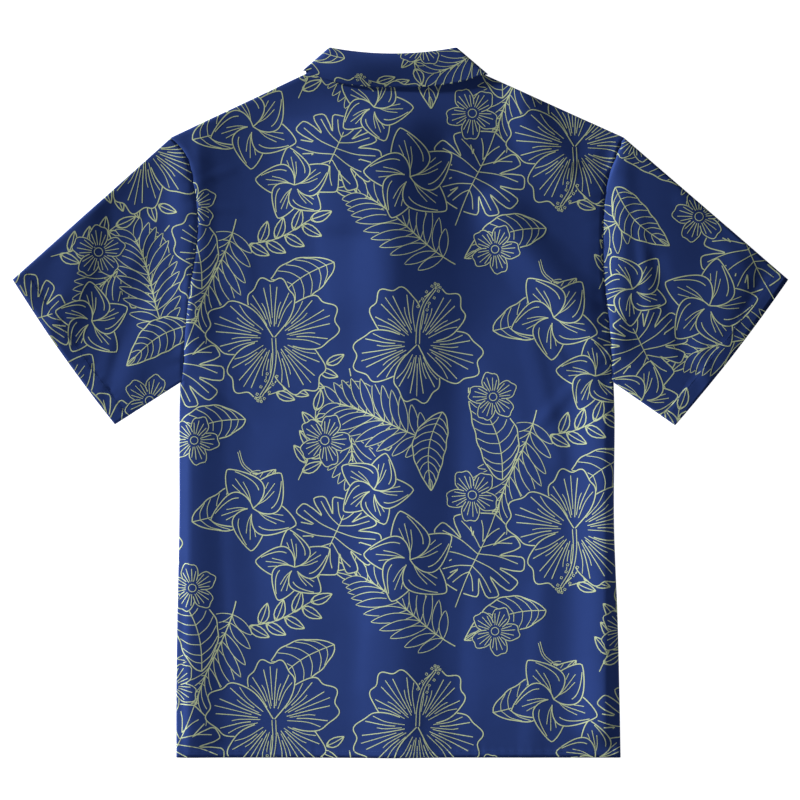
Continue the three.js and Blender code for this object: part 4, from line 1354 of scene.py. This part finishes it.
MOTIFS = {
    "hibiscus": hibiscus,
    "plumeria": plumeria,
    "blossom": blossom,
    "leaf": leaf,
    "split_leaf": split_leaf,
    "frond": frond,
    "bud": bud,
    "sprig": sprig,
}

# The repeat's motifs, the first ones on top: x and y in millimetres, turn in degrees, size in millimetres
LAYOUT = (
    ("hibiscus", 70, 92, 15, 66),
    ("hibiscus", 236, 300, 200, 68),
    ("plumeria", 214, 120, 30, 47),
    ("plumeria", 258, 58, 78, 40),
    ("plumeria", 62, 268, 8, 50),
    ("plumeria", 24, 342, 50, 40),
    ("blossom", 150, 36, 0, 26),
    ("blossom", 128, 336, 20, 28),
    ("blossom", 290, 192, 40, 28),
    ("blossom", 152, 192, 40, 26),
    ("split_leaf", 120, 244, -24, 84),
    ("split_leaf", 312, 118, 158, 78),
    ("leaf", 150, 106, -58, 104),
    ("leaf", 160, 352, 20, 104),
    ("leaf", 300, 380, 130, 106),
    ("leaf", 206, 214, 110, 92),
    ("leaf", 96, 20, 172, 84),
    ("frond", 110, 176, 62, 118),
    ("frond", 196, 22, 168, 116),
    ("frond", 92, 392, 78, 112),
    ("frond", 316, 268, -168, 108),
    ("bud", 196, 178, -140, 60),
    ("bud", 20, 34, 200, 58),
    ("bud", 118, 300, -70, 54),
    ("sprig", 262, 150, -14, 76),
    ("sprig", 12, 226, 24, 84),
    ("sprig", 200, 398, -70, 80),
    ("sprig", 230, 240, -62, 70),
)


def repeat_moves():
    """How far the repeat's neighbours lie from it, with every second column half a repeat higher."""
    moves = [(0, 0)]
    moves += [(0, row) for row in (-1, 1)]
    moves += [(column, row + 0.5) for column in (-1, 1) for row in (-2, -1, 0)]
    return [np.array([c * REPEAT_WIDTH, r * REPEAT_HEIGHT]) for c, r in moves]


def repeat_lines():
    """All the lines of one repeat, each motif cut away where an earlier one lies over it."""
    lines, covers = [], []
    for kind, x, y, degrees, size in LAYOUT:
        motif = MOTIFS[kind](size).placed(degrees, (x, y))
        lines += motif.under(covers).lines
        covers += [outline + move for outline in motif.covers for move in repeat_moves()]
    even = [(resample(points, INK_STEP), width) for points, width in lines]
    return [(points, width) for points, width in even if points is not None]


def printed_lines(lines, flat, shift):
    """The repeat's lines over the whole of a layout, moved by shift."""
    low, high = flat.reshape(-1, 2).min(0), flat.reshape(-1, 2).max(0)
    first = np.floor((low - shift) / [REPEAT_WIDTH, REPEAT_HEIGHT]).astype(int) - 2
    last = np.ceil((high - shift) / [REPEAT_WIDTH, REPEAT_HEIGHT]).astype(int) + 1
    result = []
    for column in range(first[0], last[0] + 1):
        for row in range(first[1], last[1] + 1):
            move = np.array([column, row + 0.5 * (column % 2)]) * [REPEAT_WIDTH, REPEAT_HEIGHT] + shift
            for points, width in lines:
                placed = points + move
                if (placed.max(0) > low).all() and (placed.min(0) < high).all():
                    result.append((placed, width))
    return result


def stitch_row(points):
    """Stitches along a line: short straight pieces with gaps between them."""
    lengths = np.concatenate([[0], np.cumsum(np.hypot(*np.diff(points, axis=0).T))])
    starts = np.arange(1.0, lengths[-1] - STITCH_LENGTH, STITCH_LENGTH + STITCH_GAP)
    result = []
    for start in starts:
        at = start + np.array([0, 0.5, 1.0]) * STITCH_LENGTH
        line = np.column_stack([np.interp(at, lengths, points[:, k]) for k in (0, 1)])
        result.append((line, STITCH_WIDTH))
    return result


def hem_rows(cloth):
    """Lines of the hem's stitching in a body panel's layout."""
    x = np.linspace(cloth.flat[-1, :, 0].min() + 1, cloth.flat[-1, :, 0].max() - 1, 60)
    return stitch_row(np.column_stack([x, np.full(60, HEM_Y + HEM_STITCH)]))


def cuff_rows(cloth):
    """Lines of the cuff's stitching in a sleeve's layout: a fixed way up from the cuff's edge."""
    edge = cloth.flat[-1]
    heading = np.gradient(edge, axis=0)
    heading /= np.hypot(*heading.T)[:, None]
    up = cloth.flat[-CUFF_LOOK] - edge
    up -= (up * heading).sum(1)[:, None] * heading
    up /= np.hypot(*up.T)[:, None]
    return stitch_row((edge + up * CUFF_STITCH)[1:-1])


def set_inputs(node, **values):
    for name, value in values.items():
        node.inputs[name.replace("_", " ")].default_value = value


def new_material(name, colour, roughness, sheen=0.0, specular=0.5):
    """A material with a Principled shader of one finish."""
    material = bpy.data.materials.new(name)
    material.use_nodes = True
    shader = material.node_tree.nodes["Principled BSDF"]
    set_inputs(shader, Base_Color=(*colour, 1), Roughness=roughness, Sheen_Weight=sheen, Sheen_Roughness=0.45)
    set_inputs(shader, Specular_IOR_Level=specular)
    return material


def add_weave(material, colour, pitch, depth, mottle):
    """A plain weave: crossed fine waves as bump and a slight change of tone, over a faint large mottle."""
    nodes, links = material.node_tree.nodes, material.node_tree.links
    shader = nodes["Principled BSDF"]
    place = nodes.new("ShaderNodeTexCoord")
    waves = []
    for direction in ("X", "Y"):
        wave = nodes.new("ShaderNodeTexWave")
        wave.bands_direction = direction
        set_inputs(wave, Scale=0.314 / pitch, Distortion=0.6, Detail=1.0, Detail_Scale=1.5)
        links.new(place.outputs["Object"], wave.inputs["Vector"])
        waves.append(wave)
    weave = nodes.new("ShaderNodeMath")
    weave.operation = "MULTIPLY"
    links.new(waves[0].outputs["Fac"], weave.inputs[0])
    links.new(waves[1].outputs["Fac"], weave.inputs[1])
    noise = nodes.new("ShaderNodeTexNoise")
    set_inputs(noise, Scale=mottle, Detail=5.0, Roughness=0.6)
    links.new(place.outputs["Object"], noise.inputs["Vector"])
    tone = nodes.new("ShaderNodeMath")
    tone.operation = "MULTIPLY_ADD"
    links.new(weave.outputs[0], tone.inputs[0])
    tone.inputs[1].default_value = 0.35
    links.new(noise.outputs["Fac"], tone.inputs[2])
    ramp_node = nodes.new("ShaderNodeValToRGB")
    ramp_node.color_ramp.elements[0].position = 0.3
    ramp_node.color_ramp.elements[0].color = (*[c * 0.86 for c in colour], 1)
    ramp_node.color_ramp.elements[1].position = 0.9
    ramp_node.color_ramp.elements[1].color = (*[c * 1.12 for c in colour], 1)
    links.new(tone.outputs[0], ramp_node.inputs["Fac"])
    links.new(ramp_node.outputs["Color"], shader.inputs["Base Color"])
    bump = nodes.new("ShaderNodeBump")
    set_inputs(bump, Strength=0.25, Distance=depth)
    links.new(weave.outputs[0], bump.inputs["Height"])
    links.new(bump.outputs["Normal"], shader.inputs["Normal"])


class ShirtColours(bpy.types.PropertyGroup):
    """Colours of the cloth, the print and the hard parts."""

    ground: bpy.props.FloatVectorProperty(
        name="Cloth", description="Colour of the cloth", subtype="COLOR", default=(0.020, 0.043, 0.172)
    )
    ink: bpy.props.FloatVectorProperty(
        name="Print", description="Colour of the printed lines", subtype="COLOR", default=(0.50, 0.58, 0.35)
    )
    thread: bpy.props.FloatVectorProperty(
        name="Thread",
        description="Colour of the sewing thread",
        subtype="COLOR",
        default=(0.030, 0.062, 0.22),
    )
    button: bpy.props.FloatVectorProperty(
        name="Buttons", description="Colour of the buttons", subtype="COLOR", default=(0.030, 0.048, 0.13)
    )


class ShirtFinish(bpy.types.PropertyGroup):
    """Sizes of the finish."""

    weave: bpy.props.FloatProperty(
        name="Weave", description="Distance between two threads", default=0.0006, unit="LENGTH"
    )
    weave_depth: bpy.props.FloatProperty(
        name="Weave depth", description="Depth of the weave's bump", default=0.00008, unit="LENGTH"
    )
    roughness: bpy.props.FloatProperty(
        name="Roughness", description="How dull the cloth is", default=0.8, min=0, max=1
    )
    sheen: bpy.props.FloatProperty(
        name="Sheen", description="Soft light along the cloth's edges", default=0.02, min=0, max=1
    )
    gloss: bpy.props.FloatProperty(
        name="Gloss", description="How much light the cloth mirrors", default=0.04, min=0, max=1
    )
    print_x: bpy.props.FloatProperty(
        name="Print across",
        description="How far the back's print is moved across",
        default=-0.052,
        unit="LENGTH",
    )
    print_y: bpy.props.FloatProperty(
        name="Print up", description="How far the back's print is moved up", default=-0.030, unit="LENGTH"
    )


def finishes():
    """The materials, made once and then shared."""
    scene = bpy.context.scene
    colours, finish = scene.shirt_colours, scene.shirt_finish
    made = {m.name: m for m in bpy.data.materials}
    if "shirt cloth" in made:
        return made["shirt cloth"], made["shirt print"], made["shirt thread"], made["shirt button"]
    cloth = new_material("shirt cloth", colours.ground, finish.roughness, finish.sheen, finish.gloss)
    add_weave(cloth, colours.ground, finish.weave, finish.weave_depth, CLOTH_MOTTLE)
    look = PRINT_FINISH
    ink = new_material("shirt print", colours.ink, look["roughness"], 0.0, finish.gloss)
    add_weave(ink, colours.ink, finish.weave, finish.weave_depth, look["mottle"])
    look = THREAD_FINISH
    thread = new_material("shirt thread", colours.thread, look["roughness"], look["sheen"], finish.gloss)
    add_weave(thread, colours.thread, look["pitch"], look["depth"], look["mottle"])
    look = BUTTON_FINISH
    button = new_material("shirt button", colours.button, look["roughness"])
    add_weave(button, colours.button, look["pitch"], look["depth"], look["mottle"])
    return cloth, ink, thread, button


GARMENT = all_cloth()
REPEAT = repeat_lines()


def sew_piece(name, shift, stitches=None):
    """One piece of cloth with its print and its stitching, standing for its solid."""
    cloth_finish, ink, thread, _ = finishes()
    cloth = GARMENT[name]
    shell = cloth_mesh(cloth, f"{name}_cloth", cloth_finish)
    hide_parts(name)
    lines = printed_lines(REPEAT, cloth.flat, np.array(shift))
    for _ in range(REFINE_ROUNDS):
        lines = refine(cloth, lines)
    printed = strip_mesh(cloth, lines, INK_LIFT, INK_ROOT, f"{name}_print", ink)
    if stitches is not None:
        sewing = strip_mesh(cloth, stitches(cloth), STITCH_LIFT, INK_ROOT, f"{name}_stitching", thread)


class SHIRT_OT_back(bpy.types.Operator):
    """Makes the back with its print and hem"""

    bl_idname = "shirt.back"
    bl_label = "Back"

    def execute(self, context):
        finish = context.scene.shirt_finish
        shift = (finish.print_x / MM, finish.print_y / MM)
        sew_piece("back", shift, hem_rows)
        return {"FINISHED"}


class SHIRT_OT_fronts(bpy.types.Operator):
    """Makes the two fronts with their print and hems"""

    bl_idname = "shirt.fronts"
    bl_label = "Fronts"

    def execute(self, context):
        for name in ("front_left", "front_right"):
            sew_piece(name, PRINT_SHIFT[name], hem_rows)
        return {"FINISHED"}


class SHIRT_OT_sleeves(bpy.types.Operator):
    """Makes the two sleeves with their print and hems"""

    bl_idname = "shirt.sleeves"
    bl_label = "Sleeves"

    def execute(self, context):
        for name in ("sleeve_left", "sleeve_right"):
            sew_piece(name, PRINT_SHIFT[name], cuff_rows)
        return {"FINISHED"}


class SHIRT_OT_collar(bpy.types.Operator):
    """Makes the collar with its print"""

    bl_idname = "shirt.collar"
    bl_label = "Collar"

    def execute(self, context):
        sew_piece("collar", PRINT_SHIFT["collar"])
        return {"FINISHED"}


def slit_rows():
    """Thread lines of the buttonholes: two long sides and two bars for each, in the front's layout."""
    half, side_x, bar = (BUTTONHOLE[key] for key in ("half", "side", "bar"))
    rows = []
    for i in range(BUTTON_COUNT):
        y = BUTTON_TOP_Y - i * BUTTON_PITCH
        for side in (-side_x, side_x):
            along = np.linspace(y - half, y + half, 5)
            rows.append((np.column_stack([np.full(5, CENTRE_X + side), along]), BUTTONHOLE["thread"]))
        for end in (-half, half):
            across = np.linspace(CENTRE_X - bar, CENTRE_X + bar, 3)
            rows.append((np.column_stack([across, np.full(3, y + end)]), BUTTONHOLE["bar_thread"]))
    return rows


def button_thread():
    """Two crossed bars of thread over each button's four holes, as six-sided rods."""
    points, faces = [], []
    turn = np.linspace(0, 2 * np.pi, 6, endpoint=False)
    for i in range(BUTTON_COUNT):
        y = BUTTON_TOP_Y - i * BUTTON_PITCH
        for way in (-1, 1):
            along = np.array([1.0, way, 0.0]) / math.sqrt(2)
            side = np.array([-along[1], along[0], 0.0])
            middle = np.array([CENTRE_X, y, BUTTON_CROSS["middle_z"]])
            base = sum(len(p) for p in points)
            wide = np.outer(np.cos(turn), side) * BUTTON_CROSS["half_width"]
            ring = wide + np.outer(np.sin(turn), [0, 0, 1]) * BUTTON_CROSS["half_height"]
            for end in (-BUTTON_CROSS["reach"], BUTTON_CROSS["reach"]):
                points.append(middle + along * end + ring)
            k = np.arange(6)
            nxt = (k + 1) % 6
            faces.append(np.column_stack([k, nxt, nxt + 6, k + 6]) + base)
            faces.append(np.array([[0, 1, 2, 3], [0, 3, 4, 5], [6, 9, 8, 7], [6, 11, 10, 9]]) + base)
    return np.vstack(points), np.vstack(faces)


class SHIRT_OT_buttons(bpy.types.Operator):
    """Finishes the buttons and sews them on"""

    bl_idname = "shirt.buttons"
    bl_label = "Buttons"

    def execute(self, context):
        _, _, thread, button = finishes()
        for name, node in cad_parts.items():
            if name.startswith("button"):
                piece = node if hasattr(node, "data") else bpy.data.objects[name]
                piece.data.materials.clear()
                piece.data.materials.append(button)
        points, faces = button_thread()
        uv = bake_layout(points[:, :2], 0, 1)
        crosses = new_mesh("button_thread", points, faces, uv, thread)
        slits = strip_mesh(GARMENT["front_left"], slit_rows(), STITCH_LIFT, INK_ROOT, "buttonholes", thread)
        return {"FINISHED"}


def area_light(name, place, target, size, watts):
    """A soft light of a width and a height at a place, turned to a target."""
    data = bpy.data.lights.new(name, "AREA")
    data.shape = "RECTANGLE"
    data.size, data.size_y = size
    data.energy = watts
    light = bpy.data.objects.new(name, data)
    light.location = place
    way = Vector(target) - Vector(place)
    light.rotation_euler = way.to_track_quat("-Z", "Y").to_euler()
    bpy.context.scene.collection.objects.link(light)


def sun_light(name, place, strength):
    """A soft far light that comes from the way of a place."""
    data = bpy.data.lights.new(name, "SUN")
    data.energy = strength
    data.angle = math.radians(SUN_ANGLE)
    light = bpy.data.objects.new(name, data)
    light.rotation_euler = (-Vector(place)).to_track_quat("-Z", "Y").to_euler()
    bpy.context.scene.collection.objects.link(light)


def lay_floor():
    """A white floor that shines as brightly as paper in full light."""
    half, top = FLOOR_HALF, FLOOR_TOP
    mesh = bpy.data.meshes.new("floor")
    corners = [(-half, -half, top), (half, -half, top), (half, half, top), (-half, half, top)]
    mesh.from_pydata(corners, [], [(0, 1, 2, 3)])
    floor = bpy.data.objects.new("floor", mesh)
    bpy.context.scene.collection.objects.link(floor)
    pale = new_material("floor", (0.8, 0.8, 0.8), 0.9)
    shader = pale.node_tree.nodes["Principled BSDF"]
    set_inputs(shader, Emission_Color=(1, 1, 1, 1), Emission_Strength=1.0)
    floor.data.materials.append(pale)


def place_camera():
    """A long lens straight above, that sees as many metres as the photograph."""
    data = bpy.data.cameras.new("camera")
    data.lens = CAMERA_LENS
    data.sensor_width = CAMERA_LENS * PIXEL_SIZE * PHOTO_PIXELS / CAMERA_HEIGHT
    data.sensor_fit = "HORIZONTAL"
    camera = bpy.data.objects.new("camera", data)
    camera.location = (*CAMERA_TARGET, CAMERA_HEIGHT)
    bpy.context.scene.collection.objects.link(camera)
    bpy.context.scene.camera = camera


class SHIRT_OT_stage(bpy.types.Operator):
    """Makes the floor, the lights and the camera"""

    bl_idname = "shirt.stage"
    bl_label = "Stage"

    def execute(self, context):
        lay_floor()
        sun_light("key", SUN_FROM, SUN_STRENGTH)
        area_light("overhead", OVERHEAD_PLACE, OVERHEAD_TARGET, OVERHEAD_SIZE, OVERHEAD_WATTS)
        world = bpy.data.worlds.new("studio")
        world.use_nodes = True
        set_inputs(world.node_tree.nodes["Background"], Color=(1, 1, 1, 1), Strength=WORLD_STRENGTH)
        context.scene.world = world
        context.scene.view_settings.view_transform = "Standard"
        place_camera()
        return {"FINISHED"}


class SHIRT_PT_panel(bpy.types.Panel):
    """Lists the shirt's colours, sizes and pieces"""

    bl_idname = "SHIRT_PT_panel"
    bl_label = "Shirt"
    bl_space_type = "VIEW_3D"
    bl_region_type = "UI"
    bl_category = "Shirt"

    def draw(self, context):
        for group in (context.scene.shirt_colours, context.scene.shirt_finish):
            for key in group.__annotations__:
                self.layout.prop(group, key)
        for operator in STEPS:
            self.layout.operator(operator.bl_idname)


STEPS = (
    SHIRT_OT_stage,
    SHIRT_OT_back,
    SHIRT_OT_fronts,
    SHIRT_OT_sleeves,
    SHIRT_OT_collar,
    SHIRT_OT_buttons,
)
CLASSES = (ShirtColours, ShirtFinish, *STEPS, SHIRT_PT_panel)


def register():
    for kind in CLASSES:
        bpy.utils.register_class(kind)
    bpy.types.Scene.shirt_colours = bpy.props.PointerProperty(type=ShirtColours)
    bpy.types.Scene.shirt_finish = bpy.props.PointerProperty(type=ShirtFinish)


def unregister():
    del bpy.types.Scene.shirt_finish
    del bpy.types.Scene.shirt_colours
    for kind in reversed(CLASSES):
        bpy.utils.unregister_class(kind)


def main():
    register()
    for step in STEPS:
        group, name = step.bl_idname.split(".")
        getattr(getattr(bpy.ops, group), name)()


if __name__ == "__main__":
    main()
